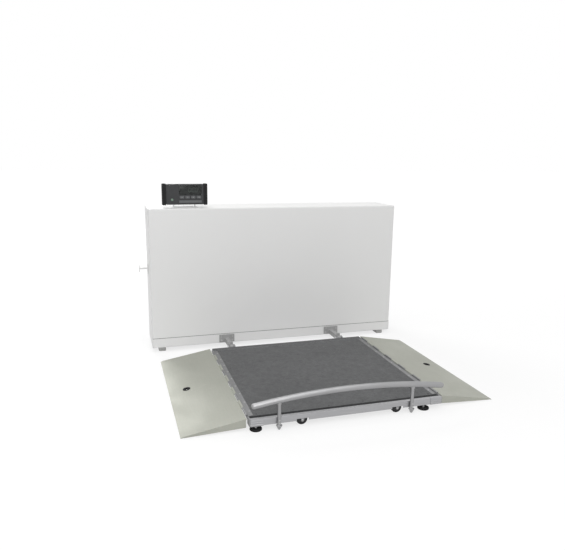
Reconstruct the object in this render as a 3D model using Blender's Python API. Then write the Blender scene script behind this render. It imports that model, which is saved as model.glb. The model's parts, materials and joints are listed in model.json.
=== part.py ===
"""Fold-away wheelchair scale: a wall cabinet with a tilting readout, and a low platform with two ramps.

X runs along the platform, Y runs from its near edge to the cabinet, Z is up and the floor is at zero.
Places are worked out from the middle of the platform's near beam. The root empty then moves the whole
part so that its origin lies on the floor, under the middle of its bounding box.
"""
import math

import bmesh
import bpy
from mathutils import Vector

# Clearances, and how far a cutter reaches past what it cuts
GAP = 0.0003
OVERRUN = 0.002

# Facets of round pieces and of one rounded corner, and the angle up to which faces are shaded smooth
ROUND_SIDES = 24
SMALL_SIDES = 12
CORNER_STEPS = 4
SMOOTH_DEGREES = 35

# Platform
PLATFORM_LENGTH = 0.810
PLATFORM_DEPTH = 0.810
DECK_TOP = 0.048
DECK_THICKNESS = 0.003
BEAM_WIDTH = 0.033
BEAM_HEIGHT = 0.026
BEAM_WALL = 0.002
SIDE_BEAM_WIDTH = 0.025
SIDE_BEAM_INSET = 0.0075
RIB_WIDTH = 0.040
RIB_HEIGHT = 0.012
RIB_SHARE = 0.27
END_CAP_THICKNESS = 0.0045
END_CAP_RIDGE_DEPTH = 0.0012
END_CAP_RIDGES = 4
RIDGE_FOOT_SHARE = 1 / 8
RIDGE_CREST_SHARE = 1 / 3

# Ramps and their piano hinges
RAMP_LENGTH = 0.250
RAMP_THICKNESS = 0.004
RAMP_TIP_CLEARANCE = 0.0015
RAMP_NOSE_LENGTH = 0.012
RAMP_NOSE_THICKNESS = 0.0015
RAMP_ROOT_REACH = 0.006
RAMP_AXIS_RISE = 0.0015
RAMP_TOP_DROP = 0.001
FLANGE_THICKNESS = 0.002
FLANGE_INSET = 0.0005
FLANGE_FOOT = 0.012
FLANGE_END_GAP = 0.002
LEAF_WIDTH = 0.025
KNUCKLE_RADIUS = 0.0045
KNUCKLE_BORE = 0.0024
KNUCKLE_PIN_RADIUS = 0.002
KNUCKLE_COUNT = 11
KNUCKLE_END_GAP = 0.0005
KNUCKLE_ROOT_GAP = 0.001
HINGE_END_GAP = 0.0055
WEB_THICKNESS = 0.0022
WEB_SET_DOWN = 0.0003
RAMP_WEB_SHARE = 1 / 8
FINGER_HOLE_REACH = 0.176
FINGER_HOLE_RADIUS = 0.0125
GROMMET_BORE = 0.0095
GROMMET_LIP_RADIUS = 0.0165
GROMMET_LIP_THICKNESS = 0.0015

# Grab rail and its posts, which stand in front of the near beam
RAIL_END_SETBACK = 0.005
RAIL_RADIUS = 0.0115
RAIL_TOP = 0.147
RAIL_RISE = 0.032
RAIL_STEPS = 20
RAIL_SIDES = 16
RAIL_END_SHARES = ((1.0, 0.0), (0.87, 0.5), (0.5, 0.87))
POST_RADIUS = 0.0072
LEFT_POST_INSET = 0.1085
RIGHT_POST_INSET = 0.1393
POST_FOOT_RADIUS = 0.012
POST_FOOT_TOP = 0.0185
POST_FOOT_SHOULDER = 0.003
POST_TIP_RADIUS = 0.004
POST_TIP_CLEARANCE = 0.002

# Wheels under the near beam
WHEEL_CLEARANCE = 0.0005
WHEEL_TOP_CLEARANCE = 0.0015
LEFT_WHEEL_INSET = 0.2095
RIGHT_WHEEL_INSET = 0.2010
TYRE_WIDTH = 0.014
TYRE_INNER_RADIUS = 0.0145
TYRE_SHOULDER = 0.003
HUB_WIDTH = 0.018
HUB_BOSS_RADIUS = 0.007
AXLE_RADIUS = 0.003
EAR_HALF_WIDTH = 0.0065
EAR_LAP = 0.004
WHEEL_NOTCH_HEIGHT = 0.008
FORK_WALL = 0.0025
FORK_CLEARANCE = 0.002
FORK_HEIGHT = 0.0155
WEB_HALF_THICKNESS = 0.004

# Feet with a load cell each
FOOT_RADIUS = 0.0235
FOOT_THICKNESS = 0.008
FOOT_EDGE = 0.0015
FOOT_STEM_RADIUS = 0.005
NEAR_LEFT_FOOT_INSET = 0.0295
NEAR_RIGHT_FOOT_INSET = 0.0770
FAR_FOOT_INSET = 0.0295
CELL_LENGTH = 0.070
CELL_WIDTH = 0.020
CELL_HEIGHT = 0.014
CELL_SLOT_HEIGHT = 0.005
CELL_SLOT_SHARE = 0.3
JUNCTION_BOX_LENGTH = 0.110
JUNCTION_BOX_WIDTH = 0.070
JUNCTION_BOX_HEIGHT = 0.015
JUNCTION_BOX_SHARE = 0.42

# Fold hinges between the cabinet and the far beam
FOLD_AXIS_REACH = 0.025
FOLD_AXIS_DROP = 0.008
BRACKET_INSET = 0.110
ARM_WIDTH = 0.020
ARM_HEIGHT = 0.024
BRACKET_FLANGE_WIDTH = 0.080
BRACKET_FLANGE_HEIGHT = 0.040
BRACKET_FLANGE_THICKNESS = 0.005
CHEEK_THICKNESS = 0.006
CHEEK_SIDE_GAP = 0.0006
CHEEK_ROOT_HEIGHT = 0.015
FOLD_PIN_RADIUS = 0.005
FOLD_PIN_HEAD_RADIUS = 0.0085
FOLD_PIN_HEAD_THICKNESS = 0.003
STOP_WIDTH = 0.016
STOP_LENGTH = 0.012
STOP_START = 0.002
STOP_CLEARANCE = 0.0007

# Cabinet
CABINET_WIDTH = 1.336
CABINET_OFFSET = -0.013
CABINET_DEPTH = 0.240
CABINET_TOP = 0.738
CABINET_BOTTOM = 0.024
CABINET_STANDOFF = 0.150
COVER_WALL = 0.003
COVER_EDGE = 0.006
COVER_EDGE_STEPS = 3
COVER_SEAM = 0.0028
TRAY_THICKNESS = 0.002
BASE_RAIL_HEIGHT = 0.0454
BASE_RAIL_WIDTH = 0.030
BASE_RAIL_WALL = 0.0025
BACK_PANEL_THICKNESS = 0.002
UPRIGHT_WIDTH = 0.030
UPRIGHT_SPREAD = 0.900
CABINET_FOOT_WIDTH = 0.036
CABINET_FOOT_INSET = 0.050
CABINET_FOOT_END_INSET = 0.015
CABINET_FOOT_EDGE = 0.003

# Cord cleat on the left side, mains inlet on the right side and power supply inside
CLEAT_Y_SHARE = 0.60
CLEAT_HEIGHT = 0.417
CLEAT_REACH = 0.046
CLEAT_TIP_HEIGHT = 0.038
CLEAT_BASE_HEIGHT = 0.056
CLEAT_WIDTH = 0.022
CLEAT_PLATE = 0.004
CLEAT_NECK = 0.010
INLET_Y_SHARE = 0.65
INLET_HEIGHT = 0.160
INLET_FLANGE_WIDTH = 0.032
INLET_FLANGE_HEIGHT = 0.048
INLET_FLANGE_THICKNESS = 0.003
INLET_BODY_WIDTH = 0.024
INLET_BODY_HEIGHT = 0.032
INLET_BODY_DEPTH = 0.024
INLET_SOCKET_WIDTH = 0.017
INLET_SOCKET_HEIGHT = 0.025
INLET_SOCKET_DEPTH = 0.016
INLET_CORNER = 0.003
SUPPLY_LENGTH = 0.160
SUPPLY_WIDTH = 0.080
SUPPLY_HEIGHT = 0.045
SUPPLY_INSET = 0.060

# Readout on the cabinet's top, and its bracket
READOUT_INSET = 0.190
READOUT_FRONT_SHARE = 0.25
READOUT_BOTTOM_RISE = 0.015
BODY_WIDTH = 0.188
BODY_HEIGHT = 0.103
BODY_DEPTH = 0.030
BODY_CORNER = 0.004
SHELL_WALL = 0.0025
BEZEL_THICKNESS = 0.0032
END_CAP_WIDTH = 0.020
END_CAP_OVERLAP = 0.0025
END_CAP_EDGE = 0.004
PIVOT_BEHIND = 0.012
PIVOT_RISE = 0.012
PIVOT_RADIUS = 0.0025
PIVOT_HEAD_RADIUS = 0.005
PIVOT_HEAD_THICKNESS = 0.003
ARM_SPREAD = 0.111
TILT_ARM_THICKNESS = 0.003
TILT_ARM_RADIUS = 0.007
TILT_LUG_THICKNESS = 0.006
TILT_LUG_RADIUS = 0.0065
TILT_FOOT_LEDGE = 0.0065
TILT_FOOT_DEPTH = 0.050
TILT_FOOT_THICKNESS = 0.003

# Readout face: margins round the window, and heights over the body's lower edge
WINDOW_LEFT_MARGIN = 0.064
WINDOW_RIGHT_MARGIN = 0.010
WINDOW_TOP_MARGIN = 0.006
WINDOW_RISE = 0.049
WINDOW_CORNER = 0.002
WINDOW_SET_BACK = 0.0006
MODULE_MARGIN = 0.003
MODULE_DEPTH = 0.0055
KEY_NAMES = ("units_key", "zero_key", "hold_key", "recall_key")
KEY_ROW_RISE = 0.037
KEY_SPACING = 0.007
KEY_HEIGHT = 0.0115
KEY_CORNER = 0.002
KEY_PROUD = 0.0015
KEY_FLANGE = 0.0012
KEY_FLANGE_THICKNESS = 0.0012
KEY_STEM_LENGTH = 0.0012
POWER_KEY_INSET = 0.029
POWER_KEY_RISE = 0.025
POWER_KEY_RADIUS = 0.0065
LABEL_RISE = 0.015
LABEL_HEIGHT = 0.0120
LABEL_THICKNESS = 0.0008
BOARD_THICKNESS = 0.0016
BOARD_MARGIN = 0.0015

# Places that follow from the sizes above
BEAM_TOP = DECK_TOP
BEAM_BOTTOM = DECK_TOP - BEAM_HEIGHT
DECK_BOTTOM = DECK_TOP - DECK_THICKNESS
FRAME_TOP = DECK_BOTTOM - GAP
FAR_BEAM_Y = PLATFORM_DEPTH - BEAM_WIDTH / 2
INNER_NEAR = BEAM_WIDTH / 2 + GAP
INNER_FAR = PLATFORM_DEPTH - BEAM_WIDTH - GAP
HALF_LENGTH = PLATFORM_LENGTH / 2
BEAM_END = HALF_LENGTH - END_CAP_THICKNESS - GAP
LEAF_START = HALF_LENGTH - LEAF_WIDTH
SIDE_BEAM_X = HALF_LENGTH - SIDE_BEAM_INSET - SIDE_BEAM_WIDTH / 2
RAMP_AXIS_Z = DECK_TOP + RAMP_AXIS_RISE
RAMP_UNDERSIDE = RAMP_TOP_DROP + RAMP_THICKNESS
RAMP_SLOPE = math.asin((RAMP_AXIS_Z - RAMP_UNDERSIDE - RAMP_TIP_CLEARANCE) / RAMP_LENGTH)
RAMP_PLATE_LENGTH = (RAMP_LENGTH + RAMP_UNDERSIDE * math.sin(RAMP_SLOPE)) / math.cos(RAMP_SLOPE)
HINGE_START = BEAM_WIDTH / 2 + HINGE_END_GAP
HINGE_END = PLATFORM_DEPTH - BEAM_WIDTH - HINGE_END_GAP
POST_Y = -(BEAM_WIDTH / 2 + GAP + POST_RADIUS)
RAIL_LENGTH = PLATFORM_LENGTH - 2 * RAIL_END_SETBACK
RAIL_ARC_RADIUS = ((RAIL_LENGTH / 2) ** 2 + RAIL_RISE ** 2) / (2 * RAIL_RISE)
RAIL_MIDDLE_Z = RAIL_TOP - RAIL_RADIUS
LEFT_POST_X = LEFT_POST_INSET - RAIL_LENGTH / 2
RIGHT_POST_X = RAIL_LENGTH / 2 - RIGHT_POST_INSET
WHEEL_RADIUS = (BEAM_TOP - BEAM_WALL - WHEEL_TOP_CLEARANCE - WHEEL_CLEARANCE) / 2
AXLE_Z = WHEEL_RADIUS + WHEEL_CLEARANCE
LEFT_WHEEL_X = LEFT_WHEEL_INSET - HALF_LENGTH
RIGHT_WHEEL_X = HALF_LENGTH - RIGHT_WHEEL_INSET
CELL_TOP = BEAM_TOP - BEAM_WALL - GAP
CELL_BOTTOM = CELL_TOP - CELL_HEIGHT
FOLD_AXIS_Y = PLATFORM_DEPTH + FOLD_AXIS_REACH
FOLD_AXIS_HEIGHT = DECK_TOP - FOLD_AXIS_DROP
LEFT_BRACKET_X = BRACKET_INSET - HALF_LENGTH
RIGHT_BRACKET_X = HALF_LENGTH - BRACKET_INSET
CABINET_FRONT = PLATFORM_DEPTH + CABINET_STANDOFF
CABINET_BACK = CABINET_FRONT + CABINET_DEPTH
CABINET_LEFT = CABINET_OFFSET - CABINET_WIDTH / 2
CABINET_RIGHT = CABINET_OFFSET + CABINET_WIDTH / 2
SHELL_BACK = CABINET_BACK - BACK_PANEL_THICKNESS - GAP
BASE_RAIL_BOTTOM = CABINET_BOTTOM + TRAY_THICKNESS + GAP
BASE_RAIL_TOP = BASE_RAIL_BOTTOM + BASE_RAIL_HEIGHT
BASE_RAIL_START = CABINET_LEFT + TRAY_THICKNESS + GAP
BASE_RAIL_END = CABINET_RIGHT - TRAY_THICKNESS - GAP
COVER_BOTTOM = BASE_RAIL_TOP + COVER_SEAM
BRACKET_FLANGE_BACK = CABINET_FRONT - GAP
BRACKET_FLANGE_FRONT = BRACKET_FLANGE_BACK - BRACKET_FLANGE_THICKNESS
BRACKET_FLANGE_BOTTOM = (BASE_RAIL_BOTTOM + BASE_RAIL_TOP - BRACKET_FLANGE_HEIGHT) / 2
READOUT_X = CABINET_LEFT + READOUT_INSET
READOUT_FRONT = CABINET_FRONT + READOUT_FRONT_SHARE * CABINET_DEPTH
READOUT_BACK = READOUT_FRONT + BODY_DEPTH
READOUT_BOTTOM = CABINET_TOP + READOUT_BOTTOM_RISE
READOUT_MIDDLE_Z = READOUT_BOTTOM + BODY_HEIGHT / 2
BEZEL_BACK = READOUT_FRONT + BEZEL_THICKNESS
PIVOT_Y = READOUT_BACK + PIVOT_BEHIND
PIVOT_Z = READOUT_BOTTOM + PIVOT_RISE
TILT_FOOT_WIDTH = ARM_SPREAD + 2 * TILT_FOOT_LEDGE
TILT_FOOT_BOTTOM = CABINET_TOP + GAP
TILT_FOOT_TOP = TILT_FOOT_BOTTOM + TILT_FOOT_THICKNESS
WINDOW_WIDTH = BODY_WIDTH - WINDOW_LEFT_MARGIN - WINDOW_RIGHT_MARGIN
WINDOW_HEIGHT = BODY_HEIGHT - WINDOW_TOP_MARGIN - WINDOW_RISE
WINDOW_MIDDLE_X = READOUT_X + (WINDOW_LEFT_MARGIN - WINDOW_RIGHT_MARGIN) / 2
KEY_PITCH = WINDOW_WIDTH / len(KEY_NAMES)
KEY_WIDTH = KEY_PITCH - KEY_SPACING
MODULE_FRONT = BEZEL_BACK + GAP
MODULE_BACK = MODULE_FRONT + MODULE_DEPTH

# Bounding box in plan, for the origin
PART_LEFT = CABINET_LEFT - CLEAT_REACH
PART_RIGHT = max(CABINET_RIGHT + INLET_FLANGE_THICKNESS + GAP, HALF_LENGTH + RAMP_LENGTH)
PART_FRONT = POST_Y - max(RAIL_RADIUS, POST_FOOT_RADIUS)
PART_BACK = CABINET_BACK

# Colours, roughness and metallic value of each kind of surface
WHITE_COAT = ((0.80, 0.80, 0.79), 0.45, 0.0)
GREY_COAT = ((0.42, 0.43, 0.44), 0.50, 0.0)
ALUMINIUM = ((0.60, 0.61, 0.62), 0.40, 0.9)
RAMP_METAL = ((0.58, 0.58, 0.56), 0.45, 0.8)
STEEL = ((0.50, 0.51, 0.53), 0.35, 1.0)
RAIL_STEEL = ((0.55, 0.56, 0.57), 0.30, 0.9)
DARK_DECK = ((0.14, 0.14, 0.145), 0.70, 0.0)
RUBBER = ((0.02, 0.02, 0.02), 0.80, 0.0)
DARK_PLASTIC = ((0.035, 0.036, 0.038), 0.45, 0.0)
GREY_PLASTIC = ((0.35, 0.36, 0.37), 0.50, 0.0)
LIGHT_PLASTIC = ((0.62, 0.63, 0.64), 0.45, 0.0)
SMOKED_GLASS = ((0.02, 0.022, 0.025), 0.10, 0.0)
BOARD_GREEN = ((0.03, 0.15, 0.06), 0.55, 0.0)
GREEN_KEY = ((0.10, 0.40, 0.16), 0.45, 0.0)


# Scene and materials


def clear_scene():
    """Remove every object that the scene holds."""
    for item in list(bpy.data.objects):
        bpy.data.objects.remove(item, do_unlink=True)


def new_material(name, surface):
    """A Principled material of its own for one piece."""
    colour, roughness, metallic = surface
    material = bpy.data.materials.new(name)
    material.use_nodes = True
    shader = material.node_tree.nodes["Principled BSDF"]
    shader.inputs["Base Color"].default_value = (*colour, 1.0)
    shader.inputs["Roughness"].default_value = roughness
    shader.inputs["Metallic"].default_value = metallic
    material.diffuse_color = (*colour, 1.0)
    return material


# Placing


def place_of(item):
    """Where an object's origin lies in the part's own frame, before the root moves it."""
    place = Vector((0.0, 0.0, 0.0))
    while item.parent is not None:
        place += item.location
        item = item.parent
    return place


def new_empty(name, parent, place):
    """An empty at a place of the part's own frame."""
    empty = bpy.data.objects.new(name, None)
    bpy.context.collection.objects.link(empty)
    empty.parent = parent
    empty.location = Vector(place) - (place_of(parent) if parent else Vector((0.0, 0.0, 0.0)))
    return empty


def new_object(name, shape, surface, parent):
    """Turn a bmesh that was drawn in the part's own frame into an object under its parent."""
    bmesh.ops.recalc_face_normals(shape, faces=shape.faces[:])
    bmesh.ops.translate(shape, verts=shape.verts[:], vec=-place_of(parent))
    mesh = bpy.data.meshes.new(name)
    shape.to_mesh(mesh)
    shape.free()
    mesh.shade_smooth()
    mesh.set_sharp_from_angle(angle=math.radians(SMOOTH_DEGREES))
    item = bpy.data.objects.new(name, mesh)
    bpy.context.collection.objects.link(item)
    item.parent = parent
    if surface:
        mesh.materials.append(new_material(name, surface))
    return item


def new_cutter(name, shape, parent):
    """A shape that only joins or cuts another object."""
    cutter = new_object(name, shape, None, parent)
    cutter.hide_render = True
    cutter.display_type = "WIRE"
    return cutter


def combine(item, operation, cutter):
    """Add a Boolean modifier: UNION joins the cutter's shapes, DIFFERENCE cuts them away."""
    modifier = item.modifiers.new(cutter.name, "BOOLEAN")
    modifier.operation = operation
    modifier.solver = "EXACT"
    modifier.object = cutter


# Outlines, as lists of pairs


def rectangle(half_u, half_v, radius=0.0):
    """A rectangle round zero, with rounded corners when a radius is given."""
    if radius <= 0:
        return [(-half_u, -half_v), (half_u, -half_v), (half_u, half_v), (-half_u, half_v)]
    points = []
    signs = ((1, -1), (1, 1), (-1, 1), (-1, -1))
    for quarter, (sign_u, sign_v) in enumerate(signs):
        for step in range(CORNER_STEPS + 1):
            angle = math.radians(90 * (quarter - 1 + step / CORNER_STEPS))
            u = sign_u * (half_u - radius) + radius * math.cos(angle)
            v = sign_v * (half_v - radius) + radius * math.sin(angle)
            points.append((u, v))
    return points


def circle(radius, sides):
    """A circle round zero."""
    turn = 2 * math.pi / sides
    return [(radius * math.cos(k * turn), radius * math.sin(k * turn)) for k in range(sides)]


def arc(centre, radius, start, end, steps):
    """Points of an arc, with its angles in degrees."""
    points = []
    for step in range(steps + 1):
        angle = math.radians(start + (end - start) * step / steps)
        points.append((centre[0] + radius * math.cos(angle), centre[1] + radius * math.sin(angle)))
    return points


# Solids, drawn into a bmesh


def lift(outline, axis, level, centre=(0.0, 0.0)):
    """Put a flat outline into space, square to an axis and at a level along it."""
    points = []
    for u, v in outline:
        u += centre[0]
        v += centre[1]
        points.append({"X": (level, u, v), "Y": (u, level, v), "Z": (u, v, level)}[axis])
    return points


def loft(shape, rings, closed=False):
    """Join rings of equally many points, with a cap at both ends or round to the first ring."""
    rows = [[shape.verts.new(point) for point in ring] for ring in rings]
    pairs = list(zip(rows, rows[1:]))
    if closed:
        pairs.append((rows[-1], rows[0]))
    for low, high in pairs:
        for k in range(len(low)):
            following = (k + 1) % len(low)
            shape.faces.new((low[k], low[following], high[following], high[k]))
    if not closed:
        shape.faces.new(rows[0])
        shape.faces.new(rows[-1])


def prism(shape, outline, axis, low, high, centre=(0.0, 0.0)):
    """A straight prism along an axis."""
    loft(shape, [lift(outline, axis, low, centre), lift(outline, axis, high, centre)])


def box(shape, x_range, y_range, z_range):
    """A box between two places on each axis."""
    corners = [(x_range[0], y_range[0]), (x_range[1], y_range[0]), (x_range[1], y_range[1]),
               (x_range[0], y_range[1])]
    prism(shape, corners, "Z", z_range[0], z_range[1])


def rod(shape, axis, centre, radius, low, high, sides=ROUND_SIDES):
    """A round rod along an axis."""
    prism(shape, circle(radius, sides), axis, low, high, centre)


def turned(shape, axis, centre, profile, sides=ROUND_SIDES):
    """A turned solid: its profile holds pairs of a radius and a level along the axis."""
    loft(shape, [lift(circle(radius, sides), axis, level, centre) for radius, level in profile])


def ring(shape, axis, centre, profile, sides=ROUND_SIDES):
    """A turned ring round a bore: its profile goes once round the ring's section."""
    loft(shape, [lift(circle(radius, sides), axis, level, centre) for radius, level in profile],
         closed=True)


def tube(shape, axis, centre, width, height, wall, low, high):
    """A rectangular tube with open ends."""
    outer = rectangle(width / 2, height / 2)
    inner = rectangle(width / 2 - wall, height / 2 - wall)
    loft(shape, [lift(outer, axis, low, centre), lift(outer, axis, high, centre),
                 lift(inner, axis, high, centre), lift(inner, axis, low, centre)], closed=True)


def channel(shape, axis, middle, top, width, height, wall, low, high):
    """A channel with its open side down."""
    outer = width / 2
    inner = outer - wall
    bottom = top - height
    outline = [(-outer, bottom), (-outer, top), (outer, top), (outer, bottom), (inner, bottom),
               (inner, top - wall), (-inner, top - wall), (-inner, bottom)]
    prism(shape, outline, axis, low, high, (middle, 0.0))


# Platform


def deck_plate(platform):
    shape = bmesh.new()
    reach = LEAF_START - GAP
    box(shape, (-reach, reach), (INNER_NEAR, INNER_FAR), (DECK_BOTTOM, DECK_TOP))
    new_object("deck_plate", shape, DARK_DECK, platform)


def near_beam(platform):
    """The near beam, with its walls notched round each wheel."""
    shape = bmesh.new()
    channel(shape, "X", 0.0, BEAM_TOP, BEAM_WIDTH, BEAM_HEIGHT, BEAM_WALL, -BEAM_END, BEAM_END)
    beam = new_object("near_beam", shape, ALUMINIUM, platform)
    reach = BEAM_WIDTH / 2 + OVERRUN
    half = WHEEL_RADIUS + FORK_CLEARANCE
    heights = (BEAM_BOTTOM - OVERRUN, BEAM_BOTTOM + WHEEL_NOTCH_HEIGHT)
    notches = bmesh.new()
    for x in (LEFT_WHEEL_X, RIGHT_WHEEL_X):
        box(notches, (x - half, x + half), (-reach, reach), heights)
    combine(beam, "DIFFERENCE", new_cutter("wheel_notches", notches, platform))


def far_beam(platform, pin_bores):
    """The far beam, with a pair of cheeks for each fold hinge."""
    shape = bmesh.new()
    channel(shape, "X", FAR_BEAM_Y, BEAM_TOP, BEAM_WIDTH, BEAM_HEIGHT, BEAM_WALL, -BEAM_END, BEAM_END)
    beam = new_object("far_beam", shape, ALUMINIUM, platform)
    outline = arc((FOLD_AXIS_Y, FOLD_AXIS_HEIGHT), ARM_HEIGHT / 2, -90, 90, SMALL_SIDES)
    root = PLATFORM_DEPTH - BEAM_WALL / 2
    half = CHEEK_ROOT_HEIGHT / 2
    outline += [(root, FOLD_AXIS_HEIGHT + half), (root, FOLD_AXIS_HEIGHT - half)]
    cheeks = bmesh.new()
    for x in (LEFT_BRACKET_X, RIGHT_BRACKET_X):
        for side in (-1, 1):
            inner = x + side * (cheek_reach() - CHEEK_THICKNESS)
            outer = x + side * cheek_reach()
            prism(cheeks, outline, "X", min(inner, outer), max(inner, outer))
    combine(beam, "UNION", new_cutter("hinge_cheeks", cheeks, platform))
    combine(beam, "DIFFERENCE", pin_bores)


def beam_end_caps(platform):
    """Ridged caps in the near beam's ends."""
    for name, side in (("beam_end_cap_left", -1), ("beam_end_cap_right", 1)):
        shape = bmesh.new()
        prism(shape, ridged_cap_outline(side), "Z", BEAM_BOTTOM, BEAM_TOP)
        new_object(name, shape, LIGHT_PLASTIC, platform)


def ridged_cap_outline(side):
    """Plan of an end cap: a plate with upright ridges on its outer face."""
    inner = side * (BEAM_END + GAP)
    crest = side * (BEAM_END + GAP + END_CAP_THICKNESS)
    valley = crest - side * END_CAP_RIDGE_DEPTH
    half = BEAM_WIDTH / 2
    pitch = BEAM_WIDTH / END_CAP_RIDGES
    outline = [(inner, half), (inner, -half)]
    for ridge in range(END_CAP_RIDGES):
        start = ridge * pitch - half
        end = start + pitch
        outline.append((valley, start + RIDGE_FOOT_SHARE * pitch))
        outline.append((crest, start + RIDGE_CREST_SHARE * pitch))
        outline.append((crest, end - RIDGE_CREST_SHARE * pitch))
        outline.append((valley, end - RIDGE_FOOT_SHARE * pitch))
    return outline


def side_beams(platform):
    """Beams under both ends of the deck, each with a hinge leaf, its knuckles and the hinge pin."""
    edge = HALF_LENGTH - KNUCKLE_RADIUS - KNUCKLE_ROOT_GAP
    web_top = DECK_TOP - WEB_SET_DOWN
    height = FRAME_TOP - BEAM_BOTTOM
    for name, side in (("side_beam_left", -1), ("side_beam_right", 1)):
        shape = bmesh.new()
        channel(shape, "Y", side * SIDE_BEAM_X, FRAME_TOP, SIDE_BEAM_WIDTH, height, BEAM_WALL,
                INNER_NEAR, INNER_FAR)
        beam = new_object(name, shape, ALUMINIUM, platform)
        leaf = bmesh.new()
        box(leaf, sorted((side * LEAF_START, side * edge)), (HINGE_START, HINGE_END),
            (FRAME_TOP - BEAM_WALL / 2, DECK_TOP))
        webs = bmesh.new()
        knuckles = bmesh.new()
        for start, end in knuckle_ranges(0):
            box(webs, sorted((side * (edge - OVERRUN), side * (HALF_LENGTH - KNUCKLE_BORE / 2))),
                (start, end), (web_top - WEB_THICKNESS, web_top))
            rod(knuckles, "Y", (side * HALF_LENGTH, RAMP_AXIS_Z), KNUCKLE_RADIUS, start + GAP,
                end - GAP, SMALL_SIDES)
        pin = bmesh.new()
        rod(pin, "Y", (side * HALF_LENGTH, RAMP_AXIS_Z), KNUCKLE_PIN_RADIUS,
            HINGE_START + KNUCKLE_BORE, HINGE_END - KNUCKLE_BORE, SMALL_SIDES)
        combine(beam, "UNION", new_cutter(f"{name}_leaf", leaf, platform))
        combine(beam, "UNION", new_cutter(f"{name}_webs", webs, platform))
        combine(beam, "UNION", new_cutter(f"{name}_knuckles", knuckles, platform))
        combine(beam, "UNION", new_cutter(f"{name}_pin", pin, platform))


def deck_ribs(platform):
    """Two cross bars under the deck, joined by a bar along the middle."""
    end = SIDE_BEAM_X - SIDE_BEAM_WIDTH / 2 - GAP
    half = RIB_WIDTH / 2
    near = RIB_SHARE * PLATFORM_DEPTH
    far = (1 - RIB_SHARE) * PLATFORM_DEPTH
    outline = [(-end, near - half), (end, near - half), (end, near + half), (half, near + half),
               (half, far - half), (end, far - half), (end, far + half), (-end, far + half),
               (-end, far - half), (-half, far - half), (-half, near + half), (-end, near + half)]
    shape = bmesh.new()
    prism(shape, outline, "Z", FRAME_TOP - RIB_HEIGHT, FRAME_TOP)
    new_object("deck_ribs", shape, ALUMINIUM, platform)


def junction_box(platform):
    """Where the four load cells' leads meet, under the deck beside the middle bar."""
    shape = bmesh.new()
    middle = JUNCTION_BOX_SHARE * PLATFORM_DEPTH
    start = RIB_WIDTH / 2 + GAP
    box(shape, (start, start + JUNCTION_BOX_LENGTH),
        (middle - JUNCTION_BOX_WIDTH / 2, middle + JUNCTION_BOX_WIDTH / 2),
        (FRAME_TOP - JUNCTION_BOX_HEIGHT, FRAME_TOP))
    new_object("junction_box", shape, GREY_PLASTIC, platform)


def foot_places():
    """Name and place of each foot, with the side that its load cell runs away from."""
    return (("near_left", NEAR_LEFT_FOOT_INSET - HALF_LENGTH, 0.0, -1),
            ("near_right", HALF_LENGTH - NEAR_RIGHT_FOOT_INSET, 0.0, 1),
            ("far_left", FAR_FOOT_INSET - HALF_LENGTH, FAR_BEAM_Y, -1),
            ("far_right", HALF_LENGTH - FAR_FOOT_INSET, FAR_BEAM_Y, 1))


def load_cells(platform):
    """A bending beam over each foot, with a slot through its middle."""
    outer = rectangle(CELL_LENGTH / 2, CELL_HEIGHT / 2)
    inner = rectangle(CELL_LENGTH * CELL_SLOT_SHARE, CELL_SLOT_HEIGHT / 2)
    for name, x, y, side in foot_places():
        centre = (x - side * (CELL_LENGTH / 2 - CELL_WIDTH / 2), (CELL_TOP + CELL_BOTTOM) / 2)
        near = y - CELL_WIDTH / 2
        far = y + CELL_WIDTH / 2
        shape = bmesh.new()
        loft(shape, [lift(outer, "Y", near, centre), lift(outer, "Y", far, centre),
                     lift(inner, "Y", far, centre), lift(inner, "Y", near, centre)], closed=True)
        new_object(f"load_cell_{name}", shape, ALUMINIUM, platform)


def load_cell_feet(platform):
    """Round rubber feet, each on a stem under its load cell."""
    profile = [(FOOT_RADIUS - FOOT_EDGE, 0.0), (FOOT_RADIUS, FOOT_EDGE),
               (FOOT_RADIUS, FOOT_THICKNESS - FOOT_EDGE), (FOOT_RADIUS - FOOT_EDGE, FOOT_THICKNESS),
               (FOOT_STEM_RADIUS, FOOT_THICKNESS), (FOOT_STEM_RADIUS, CELL_BOTTOM - GAP)]
    for name, x, y, _ in foot_places():
        shape = bmesh.new()
        turned(shape, "Z", (x, y), profile)
        new_object(f"foot_{name}", shape, RUBBER, platform)


# Grab rail


def rail_height(x):
    """Height of the rail's centre line, which is an arc of a large circle."""
    return RAIL_MIDDLE_Z - RAIL_ARC_RADIUS + math.sqrt(RAIL_ARC_RADIUS ** 2 - x ** 2)


def rail_stations(radius):
    """Radius, place along the arc and reach past it of each ring, with a dome at both ends."""
    half = RAIL_ARC_RADIUS * math.asin(RAIL_LENGTH / 2 / RAIL_ARC_RADIUS)
    dome = [(share * radius, half - radius, beyond * radius) for share, beyond in RAIL_END_SHARES]
    body = [(radius, half * (2 * step / RAIL_STEPS - 1), 0.0) for step in range(1, RAIL_STEPS)]
    return [(size, -along, -beyond) for size, along, beyond in reversed(dome)] + body + dome


def rail_rings(radius, sides):
    """Rings along the rail, each square to its arc."""
    rings = []
    for size, along, beyond in rail_stations(radius):
        angle = along / RAIL_ARC_RADIUS
        points = []
        for u, v in circle(size, sides):
            distance = RAIL_ARC_RADIUS + v
            x = distance * math.sin(angle) + beyond * math.cos(angle)
            z = RAIL_MIDDLE_Z - RAIL_ARC_RADIUS + distance * math.cos(angle) - beyond * math.sin(angle)
            points.append((x, POST_Y + u, z))
        rings.append(points)
    return rings


def grab_rail(platform):
    shape = bmesh.new()
    loft(shape, rail_rings(RAIL_RADIUS, RAIL_SIDES))
    new_object("grab_rail", shape, RAIL_STEEL, platform)


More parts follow.
